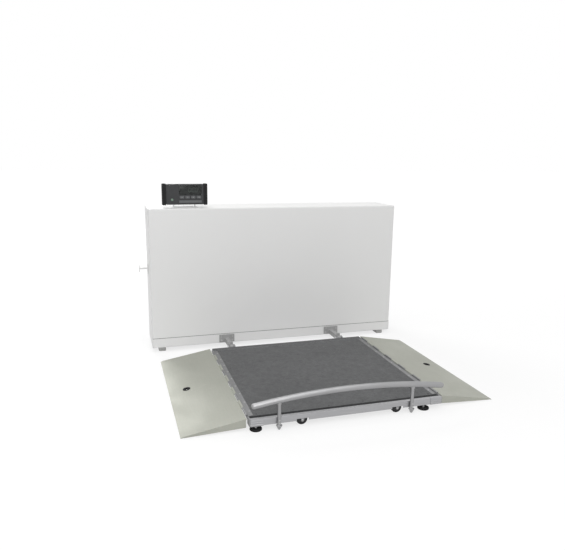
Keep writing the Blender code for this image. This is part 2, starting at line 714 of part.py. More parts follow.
def rail_posts(platform):
    """Posts from the rail down past the beam's front, each with a tapered foot."""
    shape = bmesh.new()
    loft(shape, rail_rings(RAIL_RADIUS + GAP, RAIL_SIDES))
    cope = new_cutter("rail_cope", shape, platform)
    for name, x in (("rail_post_left", LEFT_POST_X), ("rail_post_right", RIGHT_POST_X)):
        profile = [(POST_TIP_RADIUS, POST_TIP_CLEARANCE), (POST_FOOT_RADIUS, POST_FOOT_TOP),
                   (POST_RADIUS, POST_FOOT_TOP + POST_FOOT_SHOULDER), (POST_RADIUS, rail_height(x))]
        shape = bmesh.new()
        turned(shape, "Z", (x, POST_Y), profile)
        post = new_object(name, shape, RAIL_STEEL, platform)
        combine(post, "DIFFERENCE", cope)


# Wheels


def wheel_forks(platform):
    """A frame inside the near beam round each wheel, with an ear down both of its sides."""
    half_depth = BEAM_WIDTH / 2 - BEAM_WALL - GAP
    half_length = WHEEL_RADIUS + FORK_CLEARANCE + FORK_WALL
    top = BEAM_TOP - BEAM_WALL - GAP
    bottom = top - FORK_HEIGHT
    outline = arc((0.0, AXLE_Z), EAR_HALF_WIDTH, -180, 0, SMALL_SIDES)
    outline += [(EAR_HALF_WIDTH, bottom + EAR_LAP), (-EAR_HALF_WIDTH, bottom + EAR_LAP)]
    for name, x in (("left", LEFT_WHEEL_X), ("right", RIGHT_WHEEL_X)):
        shape = bmesh.new()
        tube(shape, "Z", (x, 0.0), 2 * half_length, 2 * half_depth, FORK_WALL, bottom, top)
        fork = new_object(f"wheel_fork_{name}", shape, LIGHT_PLASTIC, platform)
        ears = bmesh.new()
        for side in (-1, 1):
            outer = side * (half_depth - GAP)
            inner = side * (half_depth - FORK_WALL + GAP)
            prism(ears, outline, "Y", min(outer, inner), max(outer, inner), (x, 0.0))
        combine(fork, "UNION", new_cutter(f"fork_ears_{name}", ears, platform))
        bore = bmesh.new()
        rod(bore, "Y", (x, AXLE_Z), AXLE_RADIUS + GAP, -BEAM_WIDTH, BEAM_WIDTH, SMALL_SIDES)
        combine(fork, "DIFFERENCE", new_cutter(f"axle_bore_{name}", bore, platform))


def wheel_axles(platform):
    reach = BEAM_WIDTH / 2 - BEAM_WALL - GAP
    for name, x in (("left", LEFT_WHEEL_X), ("right", RIGHT_WHEEL_X)):
        shape = bmesh.new()
        rod(shape, "Y", (x, AXLE_Z), AXLE_RADIUS, -reach, reach, SMALL_SIDES)
        new_object(f"wheel_axle_{name}", shape, STEEL, platform)


def wheel(platform, side, x):
    """A wheel that turns about its axle: boss, web and a broad tyre, all in one piece."""
    axis = new_empty(f"wheel_axis_{side}", platform, (x, 0.0, AXLE_Z))
    half = TYRE_WIDTH / 2
    boss = HUB_WIDTH / 2
    bore = AXLE_RADIUS + GAP
    web = WEB_HALF_THICKNESS
    shoulder = WHEEL_RADIUS - TYRE_SHOULDER
    side_profile = [(bore, boss), (HUB_BOSS_RADIUS, boss), (HUB_BOSS_RADIUS, web),
                    (TYRE_INNER_RADIUS, web), (TYRE_INNER_RADIUS, half), (shoulder, half),
                    (WHEEL_RADIUS, half - TYRE_SHOULDER)]
    profile = side_profile + [(radius, -level) for radius, level in reversed(side_profile)]
    shape = bmesh.new()
    ring(shape, "Y", (x, AXLE_Z), profile)
    new_object(f"wheel_{side}", shape, RUBBER, axis)


# Ramps and their hinges


def knuckle_ranges(first):
    """Every second stretch along the hinge line, from the first one asked for."""
    pitch = (HINGE_END - HINGE_START) / KNUCKLE_COUNT
    ranges = []
    for k in range(first, KNUCKLE_COUNT, 2):
        start = HINGE_START + k * pitch
        ranges.append((start + KNUCKLE_END_GAP / 2, start + pitch - KNUCKLE_END_GAP / 2))
    return ranges


def on_slope(distance, depth):
    """A place of the ramp plate, by its distance down the slope and its depth under the axis."""
    reach = distance * math.cos(RAMP_SLOPE) - depth * math.sin(RAMP_SLOPE)
    height = RAMP_AXIS_Z - distance * math.sin(RAMP_SLOPE) - depth * math.cos(RAMP_SLOPE)
    return (HALF_LENGTH + reach, height)


def mirrored(outline, side):
    """The same outline for the left or the right ramp."""
    return [(side * u, v) for u, v in outline]


def hinge_bores(platform):
    """Cutter for the hinge pins' bores at both ends of the platform."""
    shape = bmesh.new()
    for side in (-1, 1):
        rod(shape, "Y", (side * HALF_LENGTH, RAMP_AXIS_Z), KNUCKLE_BORE, HINGE_START - OVERRUN,
            HINGE_END + OVERRUN, SMALL_SIDES)
    return new_cutter("hinge_bores", shape, platform)


def ramp_plate_outline():
    """Side view of the ramp plate, thin at its nose."""
    nose_depth = RAMP_UNDERSIDE - RAMP_NOSE_THICKNESS
    return [on_slope(RAMP_ROOT_REACH, RAMP_TOP_DROP),
            on_slope(RAMP_PLATE_LENGTH - RAMP_NOSE_LENGTH, RAMP_TOP_DROP),
            on_slope(RAMP_PLATE_LENGTH, nose_depth),
            on_slope(RAMP_PLATE_LENGTH, RAMP_UNDERSIDE),
            on_slope(RAMP_ROOT_REACH, RAMP_UNDERSIDE)]


def ramp_flange_outline():
    """Side view of a ramp flange: deep at the hinge and tapered to the floor at the nose."""
    top_depth = RAMP_TOP_DROP + RAMP_THICKNESS / 2
    start = on_slope(RAMP_ROOT_REACH + FLANGE_END_GAP, top_depth)
    end = on_slope(RAMP_PLATE_LENGTH - RAMP_NOSE_LENGTH, top_depth)
    return [start, end, (end[0], RAMP_TIP_CLEARANCE), (start[0], FLANGE_FOOT)]


def ramp_web_outline():
    """Side view of the strip that joins a ramp knuckle to the plate."""
    top_depth = RAMP_TOP_DROP + RAMP_WEB_SHARE * RAMP_THICKNESS
    bottom_depth = top_depth + WEB_THICKNESS
    reach = RAMP_ROOT_REACH + OVERRUN
    return [on_slope(0.0, top_depth), on_slope(reach, top_depth), on_slope(reach, bottom_depth),
            on_slope(0.0, bottom_depth)]


def grommet_place(side):
    """Centre of the finger hole and the direction square to the ramp plate."""
    top = on_slope(FINGER_HOLE_REACH / math.cos(RAMP_SLOPE), RAMP_TOP_DROP)
    centre = Vector((side * top[0], PLATFORM_DEPTH / 2, top[1]))
    normal = Vector((side * math.sin(RAMP_SLOPE), 0.0, math.cos(RAMP_SLOPE)))
    return centre, normal


def tilted_rings(side, profile, sides):
    """Rings square to the ramp plate: pairs of a radius and a height over the plate's top."""
    centre, normal = grommet_place(side)
    across = Vector((0.0, 1.0, 0.0))
    along = across.cross(normal)
    rings = []
    for radius, height in profile:
        middle = centre + normal * height
        rings.append([tuple(middle + along * u + across * v) for u, v in circle(radius, sides)])
    return rings


def ramp(axis, name, side, bores):
    shape = bmesh.new()
    prism(shape, mirrored(ramp_plate_outline(), side), "Y", 0.0, PLATFORM_DEPTH)
    item = new_object(name, shape, RAMP_METAL, axis)
    flanges = bmesh.new()
    flange = mirrored(ramp_flange_outline(), side)
    for start in (FLANGE_INSET, PLATFORM_DEPTH - FLANGE_INSET - FLANGE_THICKNESS):
        prism(flanges, flange, "Y", start, start + FLANGE_THICKNESS)
    combine(item, "UNION", new_cutter(f"{name}_flanges", flanges, axis))
    webs = bmesh.new()
    knuckles = bmesh.new()
    for start, end in knuckle_ranges(1):
        prism(webs, mirrored(ramp_web_outline(), side), "Y", start, end)
        rod(knuckles, "Y", (side * HALF_LENGTH, RAMP_AXIS_Z), KNUCKLE_RADIUS, start + GAP, end - GAP,
            SMALL_SIDES)
    combine(item, "UNION", new_cutter(f"{name}_webs", webs, axis))
    combine(item, "UNION", new_cutter(f"{name}_knuckles", knuckles, axis))
    combine(item, "DIFFERENCE", bores)
    hole = bmesh.new()
    loft(hole, tilted_rings(side, [(FINGER_HOLE_RADIUS, -RAMP_THICKNESS - OVERRUN),
                                   (FINGER_HOLE_RADIUS, OVERRUN)], ROUND_SIDES))
    combine(item, "DIFFERENCE", new_cutter(f"{name}_hole", hole, axis))


def finger_grommet(axis, name, side):
    """A rubber ring in the finger hole, with a lip over both faces of the plate."""
    neck = FINGER_HOLE_RADIUS - GAP
    below = -RAMP_THICKNESS - GAP
    profile = [(GROMMET_BORE, below - GROMMET_LIP_THICKNESS),
               (GROMMET_LIP_RADIUS, below - GROMMET_LIP_THICKNESS), (GROMMET_LIP_RADIUS, below),
               (neck, below), (neck, GAP), (GROMMET_LIP_RADIUS, GAP),
               (GROMMET_LIP_RADIUS - GROMMET_LIP_THICKNESS / 2, GAP + GROMMET_LIP_THICKNESS),
               (GROMMET_BORE, GAP + GROMMET_LIP_THICKNESS)]
    shape = bmesh.new()
    loft(shape, tilted_rings(side, profile, ROUND_SIDES), closed=True)
    new_object(name, shape, RUBBER, axis)


# Fold hinges


def cheek_reach():
    """Distance from an arm's middle to the outer face of the cheek beside it."""
    return ARM_WIDTH / 2 + CHEEK_SIDE_GAP + CHEEK_THICKNESS


def hinge_bracket(root, name, x, pin_bores):
    """A flange on the cabinet's front rail, an arm to the fold axis and a stop on the arm."""
    shape = bmesh.new()
    half_height = ARM_HEIGHT / 2
    arm = arc((FOLD_AXIS_Y, FOLD_AXIS_HEIGHT), half_height, 90, 270, SMALL_SIDES)
    end = BRACKET_FLANGE_FRONT + BRACKET_FLANGE_THICKNESS / 2
    arm += [(end, FOLD_AXIS_HEIGHT - half_height), (end, FOLD_AXIS_HEIGHT + half_height)]
    prism(shape, arm, "X", x - ARM_WIDTH / 2, x + ARM_WIDTH / 2)
    item = new_object(name, shape, GREY_COAT, root)
    flange = bmesh.new()
    box(flange, (x - BRACKET_FLANGE_WIDTH / 2, x + BRACKET_FLANGE_WIDTH / 2),
        (BRACKET_FLANGE_FRONT, BRACKET_FLANGE_BACK),
        (BRACKET_FLANGE_BOTTOM, BRACKET_FLANGE_BOTTOM + BRACKET_FLANGE_HEIGHT))
    combine(item, "UNION", new_cutter(f"{name}_flange", flange, root))
    stop = bmesh.new()
    start = FOLD_AXIS_Y + STOP_START
    box(stop, (x - STOP_WIDTH / 2, x + STOP_WIDTH / 2), (start, start + STOP_LENGTH),
        (FOLD_AXIS_HEIGHT, FOLD_AXIS_HEIGHT + FOLD_AXIS_REACH - STOP_CLEARANCE))
    combine(item, "UNION", new_cutter(f"{name}_stop", stop, root))
    combine(item, "DIFFERENCE", pin_bores)


def fold_pin_bores(root):
    shape = bmesh.new()
    for x in (LEFT_BRACKET_X, RIGHT_BRACKET_X):
        reach = cheek_reach() + OVERRUN
        rod(shape, "X", (FOLD_AXIS_Y, FOLD_AXIS_HEIGHT), FOLD_PIN_RADIUS + GAP, x - reach, x + reach,
            SMALL_SIDES)
    return new_cutter("fold_pin_bores", shape, root)


def hinge_pins(root):
    """Pins through the arms and cheeks, with a head at both ends."""
    reach = cheek_reach() + GAP
    end = reach + FOLD_PIN_HEAD_THICKNESS
    for name, x in (("hinge_pin_left", LEFT_BRACKET_X), ("hinge_pin_right", RIGHT_BRACKET_X)):
        shape = bmesh.new()
        turned(shape, "X", (FOLD_AXIS_Y, FOLD_AXIS_HEIGHT),
               [(FOLD_PIN_HEAD_RADIUS, x - end), (FOLD_PIN_HEAD_RADIUS, x - reach),
                (FOLD_PIN_RADIUS, x - reach), (FOLD_PIN_RADIUS, x + reach),
                (FOLD_PIN_HEAD_RADIUS, x + reach), (FOLD_PIN_HEAD_RADIUS, x + end)], SMALL_SIDES)
        new_object(name, shape, STEEL, root)


# Cabinet


def cabinet_cover(root):
    """One white shell: front, top and both sides, open behind and below."""
    shape = bmesh.new()
    box(shape, (CABINET_LEFT, CABINET_RIGHT), (CABINET_FRONT, SHELL_BACK), (COVER_BOTTOM, CABINET_TOP))
    soft = [edge for edge in shape.edges if is_outer_edge(edge)]
    bmesh.ops.bevel(shape, geom=soft, offset=COVER_EDGE, segments=COVER_EDGE_STEPS, profile=0.5,
                    affect="EDGES")
    cover = new_object("cabinet_cover", shape, WHITE_COAT, root)
    inside = bmesh.new()
    box(inside, (CABINET_LEFT + COVER_WALL, CABINET_RIGHT - COVER_WALL),
        (CABINET_FRONT + COVER_WALL, SHELL_BACK + OVERRUN), (COVER_BOTTOM - OVERRUN, CABINET_TOP - COVER_WALL))
    combine(cover, "DIFFERENCE", new_cutter("cover_inside", inside, root))
    hole = bmesh.new()
    outline = rectangle(INLET_BODY_WIDTH / 2 + GAP, INLET_BODY_HEIGHT / 2 + GAP)
    prism(hole, outline, "X", CABINET_RIGHT - COVER_WALL - OVERRUN, CABINET_RIGHT + OVERRUN, inlet_place())
    combine(cover, "DIFFERENCE", new_cutter("inlet_hole", hole, root))


def is_outer_edge(edge):
    """Tell the cover's front and top edges from those at its open back and bottom."""
    ends = [vertex.co for vertex in edge.verts]
    at_back = all(abs(end.y - SHELL_BACK) < GAP for end in ends)
    at_bottom = all(abs(end.z - COVER_BOTTOM) < GAP for end in ends)
    return not at_back and not at_bottom


def cabinet_back_panel(root):
    shape = bmesh.new()
    box(shape, (CABINET_LEFT, CABINET_RIGHT), (CABINET_BACK - BACK_PANEL_THICKNESS, CABINET_BACK),
        (CABINET_BOTTOM, CABINET_TOP))
    new_object("cabinet_back_panel", shape, WHITE_COAT, root)


def base_tray(root):
    """A folded sheet under the rails, turned up at the cabinet's left and right sides."""
    outline = [(CABINET_LEFT, CABINET_BOTTOM), (CABINET_RIGHT, CABINET_BOTTOM),
               (CABINET_RIGHT, BASE_RAIL_TOP), (CABINET_RIGHT - TRAY_THICKNESS, BASE_RAIL_TOP),
               (CABINET_RIGHT - TRAY_THICKNESS, CABINET_BOTTOM + TRAY_THICKNESS),
               (CABINET_LEFT + TRAY_THICKNESS, CABINET_BOTTOM + TRAY_THICKNESS),
               (CABINET_LEFT + TRAY_THICKNESS, BASE_RAIL_TOP), (CABINET_LEFT, BASE_RAIL_TOP)]
    shape = bmesh.new()
    prism(shape, outline, "Y", CABINET_FRONT, SHELL_BACK)
    new_object("base_tray", shape, WHITE_COAT, root)


def base_rails(root):
    """Rectangular tubes along the front and the back of the tray."""
    centre_z = (BASE_RAIL_BOTTOM + BASE_RAIL_TOP) / 2
    for name, y in (("base_rail_front", CABINET_FRONT + BASE_RAIL_WIDTH / 2),
                    ("base_rail_back", SHELL_BACK - BASE_RAIL_WIDTH / 2)):
        shape = bmesh.new()
        tube(shape, "X", (y, centre_z), BASE_RAIL_WIDTH, BASE_RAIL_HEIGHT, BASE_RAIL_WALL,
             BASE_RAIL_START, BASE_RAIL_END)
        new_object(name, shape, WHITE_COAT, root)


def cover_frame(root):
    """A portal on the front rail that stands behind the cover's front and carries its top."""
    outer = UPRIGHT_SPREAD / 2
    inner = outer - UPRIGHT_WIDTH
    bottom = BASE_RAIL_TOP + GAP
    top = CABINET_TOP - COVER_WALL - GAP
    outline = [(-outer, bottom), (-outer, top), (outer, top), (outer, bottom), (inner, bottom),
               (inner, top - UPRIGHT_WIDTH), (-inner, top - UPRIGHT_WIDTH), (-inner, bottom)]
    shape = bmesh.new()
    front = CABINET_FRONT + COVER_WALL + GAP
    prism(shape, outline, "Y", front, front + UPRIGHT_WIDTH, (CABINET_OFFSET, 0.0))
    new_object("cover_frame", shape, GREY_COAT, root)


def cabinet_feet(root):
    """A rubber foot bar under each end of the tray."""
    middle_y = (CABINET_FRONT + SHELL_BACK) / 2
    half_depth = (SHELL_BACK - CABINET_FRONT) / 2 - CABINET_FOOT_END_INSET
    outline = rectangle(CABINET_FOOT_WIDTH / 2, half_depth, CABINET_FOOT_EDGE)
    for name, x in (("cabinet_foot_left", CABINET_LEFT + CABINET_FOOT_INSET),
                    ("cabinet_foot_right", CABINET_RIGHT - CABINET_FOOT_INSET)):
        shape = bmesh.new()
        prism(shape, outline, "Z", 0.0, CABINET_BOTTOM - GAP, (x, middle_y))
        new_object(name, shape, RUBBER, root)


def cord_cleat(root):
    """A cleat on the cabinet's left side: base plate, neck and an upright tip plate."""
    y = CABINET_FRONT + CLEAT_Y_SHARE * CABINET_DEPTH
    wall = CABINET_LEFT - GAP
    levels = (wall, wall - CLEAT_PLATE, CABINET_LEFT - CLEAT_REACH + CLEAT_PLATE, CABINET_LEFT - CLEAT_REACH)
    halves = ((CLEAT_WIDTH / 2, CLEAT_BASE_HEIGHT / 2), (CLEAT_NECK / 2, CLEAT_NECK / 2),
              (CLEAT_WIDTH / 2, CLEAT_TIP_HEIGHT / 2))
    base, neck, tip = [rectangle(u, v, min(u, v) / 2) for u, v in halves]
    centre = (y, CLEAT_HEIGHT)
    rings = [lift(base, "X", levels[0], centre), lift(base, "X", levels[1], centre),
             lift(neck, "X", levels[1], centre), lift(neck, "X", levels[2], centre),
             lift(tip, "X", levels[2], centre), lift(tip, "X", levels[3], centre)]
    shape = bmesh.new()
    loft(shape, rings)
    new_object("cord_cleat", shape, LIGHT_PLASTIC, root)


def inlet_place():
    """Middle of the mains inlet on the cabinet's right side."""
    return (CABINET_FRONT + INLET_Y_SHARE * CABINET_DEPTH, INLET_HEIGHT)


def power_inlet(root):
    """A flanged inlet through the cover, with a socket that opens outwards."""
    wall = CABINET_RIGHT + GAP
    front = wall + INLET_FLANGE_THICKNESS
    socket = rectangle(INLET_SOCKET_WIDTH / 2, INLET_SOCKET_HEIGHT / 2, INLET_CORNER / 2)
    flange = rectangle(INLET_FLANGE_WIDTH / 2, INLET_FLANGE_HEIGHT / 2, INLET_CORNER)
    body = rectangle(INLET_BODY_WIDTH / 2, INLET_BODY_HEIGHT / 2, INLET_CORNER / 2)
    rings = [(socket, front - INLET_SOCKET_DEPTH), (socket, front), (flange, front), (flange, wall),
             (body, wall), (body, wall - INLET_BODY_DEPTH)]
    shape = bmesh.new()
    loft(shape, [lift(outline, "X", level, inlet_place()) for outline, level in rings])
    new_object("power_inlet", shape, DARK_PLASTIC, root)


def power_supply(root):
    shape = bmesh.new()
    right = BASE_RAIL_END - SUPPLY_INSET
    middle = (CABINET_FRONT + SHELL_BACK) / 2
    bottom = CABINET_BOTTOM + TRAY_THICKNESS + GAP
    box(shape, (right - SUPPLY_LENGTH, right), (middle - SUPPLY_WIDTH / 2, middle + SUPPLY_WIDTH / 2),
        (bottom, bottom + SUPPLY_HEIGHT))
    new_object("power_supply", shape, GREY_COAT, root)


# Readout


def pivot_bores(root):
    shape = bmesh.new()
    reach = TILT_FOOT_WIDTH / 2
    for side in (-1, 1):
        inner = READOUT_X + side * (ARM_SPREAD / 2 - TILT_ARM_THICKNESS - TILT_LUG_THICKNESS - OVERRUN)
        outer = READOUT_X + side * reach
        rod(shape, "X", (PIVOT_Y, PIVOT_Z), PIVOT_RADIUS + GAP, min(inner, outer), max(inner, outer),
            SMALL_SIDES)
    return new_cutter("pivot_bores", shape, root)


def readout_bracket(root, bores):
    """A foot on the cabinet's top with an upright arm at each end."""
    foot = bmesh.new()
    box(foot, (READOUT_X - TILT_FOOT_WIDTH / 2, READOUT_X + TILT_FOOT_WIDTH / 2),
        (PIVOT_Y - TILT_FOOT_DEPTH / 2, PIVOT_Y + TILT_FOOT_DEPTH / 2), (TILT_FOOT_BOTTOM, TILT_FOOT_TOP))
    item = new_object("readout_bracket", foot, DARK_PLASTIC, root)
    arms = bmesh.new()
    outline = arc((PIVOT_Y, PIVOT_Z), TILT_ARM_RADIUS, 0, 180, SMALL_SIDES)
    sunk = TILT_FOOT_TOP - TILT_FOOT_THICKNESS / 2
    outline += [(PIVOT_Y - TILT_ARM_RADIUS, sunk), (PIVOT_Y + TILT_ARM_RADIUS, sunk)]
    for side in (-1, 1):
        outer = READOUT_X + side * ARM_SPREAD / 2
        inner = outer - side * TILT_ARM_THICKNESS
        prism(arms, outline, "X", min(inner, outer), max(inner, outer))
    combine(item, "UNION", new_cutter("bracket_arms", arms, root))
    combine(item, "DIFFERENCE", bores)


def tilt_rod(root):
    """A headed rod through the bracket's arms and the readout's lugs."""
    arm = ARM_SPREAD / 2 + GAP
    end = arm + PIVOT_HEAD_THICKNESS
    levels = [(PIVOT_HEAD_RADIUS, -end), (PIVOT_HEAD_RADIUS, -arm), (PIVOT_RADIUS, -arm),
              (PIVOT_RADIUS, arm), (PIVOT_HEAD_RADIUS, arm), (PIVOT_HEAD_RADIUS, end)]
    shape = bmesh.new()
    turned(shape, "X", (PIVOT_Y, PIVOT_Z), [(radius, READOUT_X + level) for radius, level in levels],
           SMALL_SIDES)
    new_object("tilt_rod", shape, STEEL, root)


def readout_back_shell(tilt, bores):
    """A cup open at the front, with two lugs behind for the tilt pivots."""
    outer = rectangle(BODY_WIDTH / 2, BODY_HEIGHT / 2, BODY_CORNER)
    inner = rectangle(BODY_WIDTH / 2 - SHELL_WALL, BODY_HEIGHT / 2 - SHELL_WALL, BODY_CORNER / 2)
    centre = (READOUT_X, READOUT_MIDDLE_Z)
    front = BEZEL_BACK + GAP
    rings = [(inner, READOUT_BACK - SHELL_WALL), (inner, front), (outer, front), (outer, READOUT_BACK)]
    shape = bmesh.new()
    loft(shape, [lift(outline, "Y", level, centre) for outline, level in rings])
    shell = new_object("readout_back_shell", shape, DARK_PLASTIC, tilt)
    lugs = bmesh.new()
    outline = arc((PIVOT_Y, PIVOT_Z), TILT_LUG_RADIUS, -90, 90, SMALL_SIDES)
    sunk = READOUT_BACK - SHELL_WALL / 2
    outline += [(sunk, PIVOT_Z + TILT_LUG_RADIUS), (sunk, PIVOT_Z - TILT_LUG_RADIUS)]
    for side in (-1, 1):
        outer_face = READOUT_X + side * (ARM_SPREAD / 2 - TILT_ARM_THICKNESS - GAP)
        inner_face = outer_face - side * TILT_LUG_THICKNESS
        prism(lugs, outline, "X", min(inner_face, outer_face), max(inner_face, outer_face))
    combine(shell, "UNION", new_cutter("tilt_lugs", lugs, tilt))
    combine(shell, "DIFFERENCE", bores)


def key_places():
    """Name and middle of each rectangular key under the window."""
    start = WINDOW_MIDDLE_X - KEY_PITCH * (len(KEY_NAMES) - 1) / 2
    height = READOUT_BOTTOM + KEY_ROW_RISE
    return [(name, (start + k * KEY_PITCH, height)) for k, name in enumerate(KEY_NAMES)]


def power_key_place():
    return (READOUT_X - BODY_WIDTH / 2 + POWER_KEY_INSET, READOUT_BOTTOM + POWER_KEY_RISE)


def window_place():
    return (WINDOW_MIDDLE_X, READOUT_BOTTOM + WINDOW_RISE + WINDOW_HEIGHT / 2)


def readout_front_bezel(tilt):
    """The face plate, cut for the window and the keys."""
    outline = rectangle(BODY_WIDTH / 2, BODY_HEIGHT / 2, BODY_CORNER)
    shape = bmesh.new()
    prism(shape, outline, "Y", READOUT_FRONT, BEZEL_BACK, (READOUT_X, READOUT_MIDDLE_Z))
    bezel = new_object("readout_front_bezel", shape, DARK_PLASTIC, tilt)
    cuts = bmesh.new()
    front = READOUT_FRONT - OVERRUN
    back = BEZEL_BACK + OVERRUN
    window = rectangle(WINDOW_WIDTH / 2 + GAP, WINDOW_HEIGHT / 2 + GAP, WINDOW_CORNER + GAP)
    prism(cuts, window, "Y", front, back, window_place())
    key = rectangle(KEY_WIDTH / 2 + GAP, KEY_HEIGHT / 2 + GAP, KEY_CORNER + GAP)
    for _, place in key_places():
        prism(cuts, key, "Y", front, back, place)
    rod(cuts, "Y", power_key_place(), POWER_KEY_RADIUS + GAP, front, back)
    combine(bezel, "DIFFERENCE", new_cutter("bezel_cuts", cuts, tilt))


def readout_end_caps(tilt):
    """Dark caps over both ends of the readout, a little larger than its body."""
    height = BODY_HEIGHT / 2 + END_CAP_OVERLAP
    outline = rectangle((BODY_DEPTH + 2 * END_CAP_OVERLAP) / 2, height, END_CAP_EDGE)
    centre = ((READOUT_FRONT + READOUT_BACK) / 2, READOUT_MIDDLE_Z)
    for name, side in (("readout_end_cap_left", -1), ("readout_end_cap_right", 1)):
        inner = READOUT_X + side * (BODY_WIDTH / 2 + GAP)
        outer = inner + side * END_CAP_WIDTH
        shape = bmesh.new()
        prism(shape, outline, "X", min(inner, outer), max(inner, outer), centre)
        new_object(name, shape, RUBBER, tilt)


def display_window(tilt):
    shape = bmesh.new()
    outline = rectangle(WINDOW_WIDTH / 2, WINDOW_HEIGHT / 2, WINDOW_CORNER)
    prism(shape, outline, "Y", READOUT_FRONT + WINDOW_SET_BACK, BEZEL_BACK, window_place())
    new_object("display_window", shape, SMOKED_GLASS, tilt)


def display_module(tilt):
    """The display behind the window, wider than the opening so that it lies on the bezel."""
    shape = bmesh.new()
    outline = rectangle(WINDOW_WIDTH / 2 + MODULE_MARGIN, WINDOW_HEIGHT / 2 + MODULE_MARGIN)
    prism(shape, outline, "Y", MODULE_FRONT, MODULE_BACK, window_place())
    new_object("display_module", shape, GREY_PLASTIC, tilt)


def circuit_board(tilt):
    shape = bmesh.new()
    margin = SHELL_WALL + BOARD_MARGIN
    outline = rectangle(BODY_WIDTH / 2 - margin, BODY_HEIGHT / 2 - margin)
    prism(shape, outline, "Y", MODULE_BACK + GAP, MODULE_BACK + GAP + BOARD_THICKNESS,
          (READOUT_X, READOUT_MIDDLE_Z))
    new_object("circuit_board", shape, BOARD_GREEN, tilt)


def label_strip(tilt):
    shape = bmesh.new()
    outline = rectangle(WINDOW_WIDTH / 2, LABEL_HEIGHT / 2, WINDOW_CORNER)
    prism(shape, outline, "Y", READOUT_FRONT - GAP - LABEL_THICKNESS, READOUT_FRONT - GAP,
          (WINDOW_MIDDLE_X, READOUT_BOTTOM + LABEL_RISE))
    new_object("label_strip", shape, GREY_PLASTIC, tilt)


def key_rings(small, large, place):
    """A key cap through the bezel, with a flange behind it that keeps it in."""
    front = READOUT_FRONT - KEY_PROUD
    flange = BEZEL_BACK + GAP
    back = flange + KEY_FLANGE_THICKNESS
    rings = [(small, front), (small, flange), (large, flange), (large, back), (small, back),
             (small, back + KEY_STEM_LENGTH)]
    return [lift(outline, "Y", level, place) for outline, level in rings]


def keys(tilt):
    """Four rectangular keys and a round power key, each pressed in along Y."""
    small = rectangle(KEY_WIDTH / 2, KEY_HEIGHT / 2, KEY_CORNER)
    large = rectangle(KEY_WIDTH / 2 + KEY_FLANGE, KEY_HEIGHT / 2 + KEY_FLANGE, KEY_CORNER)
    for name, place in key_places():
        axis = new_empty(f"{name}_guide", tilt, (place[0], READOUT_FRONT, place[1]))
        shape = bmesh.new()
        loft(shape, key_rings(small, large, place))
        new_object(name, shape, GREY_PLASTIC, axis)
    place = power_key_place()
    axis = new_empty("power_key_guide", tilt, (place[0], READOUT_FRONT, place[1]))
    small = circle(POWER_KEY_RADIUS, ROUND_SIDES)
    large = circle(POWER_KEY_RADIUS + KEY_FLANGE, ROUND_SIDES)
    shape = bmesh.new()
    loft(shape, key_rings(small, large, place))
    new_object("power_key", shape, GREEN_KEY, axis)


# Assemblies


def build_cabinet(root, pin_bores):
    cabinet_cover(root)
    cabinet_back_panel(root)
    base_tray(root)
    base_rails(root)
    cover_frame(root)
    cabinet_feet(root)
    cord_cleat(root)
    power_inlet(root)
    power_supply(root)
    hinge_bracket(root, "hinge_bracket_left", LEFT_BRACKET_X, pin_bores)
    hinge_bracket(root, "hinge_bracket_right", RIGHT_BRACKET_X, pin_bores)
    hinge_pins(root)


def build_readout(root):
    bores = pivot_bores(root)
    readout_bracket(root, bores)
    tilt_rod(root)
    tilt = new_empty("readout_tilt_axis", root, (READOUT_X, PIVOT_Y, PIVOT_Z))
    readout_back_shell(tilt, bores)
    readout_front_bezel(tilt)
    readout_end_caps(tilt)
    display_window(tilt)
    display_module(tilt)
    circuit_board(tilt)
    label_strip(tilt)
    keys(tilt)


def build_platform(root, pin_bores):
    platform = new_empty("platform_fold_axis", root, (0.0, FOLD_AXIS_Y, FOLD_AXIS_HEIGHT))
    bores = hinge_bores(platform)
    deck_plate(platform)
    near_beam(platform)
    far_beam(platform, pin_bores)
    beam_end_caps(platform)
    side_beams(platform)
    deck_ribs(platform)
    junction_box(platform)
    load_cells(platform)
    load_cell_feet(platform)
    grab_rail(platform)
    rail_posts(platform)
    wheel_forks(platform)
    wheel_axles(platform)
    wheel(platform, "left", LEFT_WHEEL_X)
    wheel(platform, "right", RIGHT_WHEEL_X)
    for name, side in (("left", -1), ("right", 1)):
        axis = new_empty(f"{name}_ramp_axis", platform, (side * HALF_LENGTH, PLATFORM_DEPTH / 2, RAMP_AXIS_Z))
        ramp(axis, f"{name}_ramp", side, bores)
        finger_grommet(axis, f"{name}_finger_grommet", side)


def main():
    clear_scene()
    root = new_empty("wheelchair_scale", None, (0.0, 0.0, 0.0))
    pin_bores = fold_pin_bores(root)
    build_cabinet(root, pin_bores)
    build_readout(root)
    build_platform(root, pin_bores)
    root.location = (-(PART_LEFT + PART_RIGHT) / 2, -(PART_FRONT + PART_BACK) / 2, 0.0)


main()
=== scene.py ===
"""Looks of the wheelchair scale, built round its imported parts."""

import json
import math

import bmesh
import bpy
from mathutils import Matrix, Vector


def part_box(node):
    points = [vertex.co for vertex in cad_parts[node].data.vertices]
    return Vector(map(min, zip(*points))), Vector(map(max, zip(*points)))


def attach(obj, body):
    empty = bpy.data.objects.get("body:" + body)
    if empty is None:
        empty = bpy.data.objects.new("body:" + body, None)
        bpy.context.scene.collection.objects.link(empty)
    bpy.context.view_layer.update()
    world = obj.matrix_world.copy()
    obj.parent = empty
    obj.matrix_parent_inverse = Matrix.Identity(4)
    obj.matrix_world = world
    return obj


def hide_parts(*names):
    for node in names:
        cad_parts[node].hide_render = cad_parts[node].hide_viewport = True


# Camera, fitted to the photograph
CAMERA_PLACE = (-0.82715, -2.5175, 1.0115)
CAMERA_YAW = 16.765
CAMERA_PITCH = 11.872
CAMERA_ROLL = 0.694
FOCAL_PIXELS = 576.77
FRAME_PIXELS = 565
SENSOR_WIDTH = 36

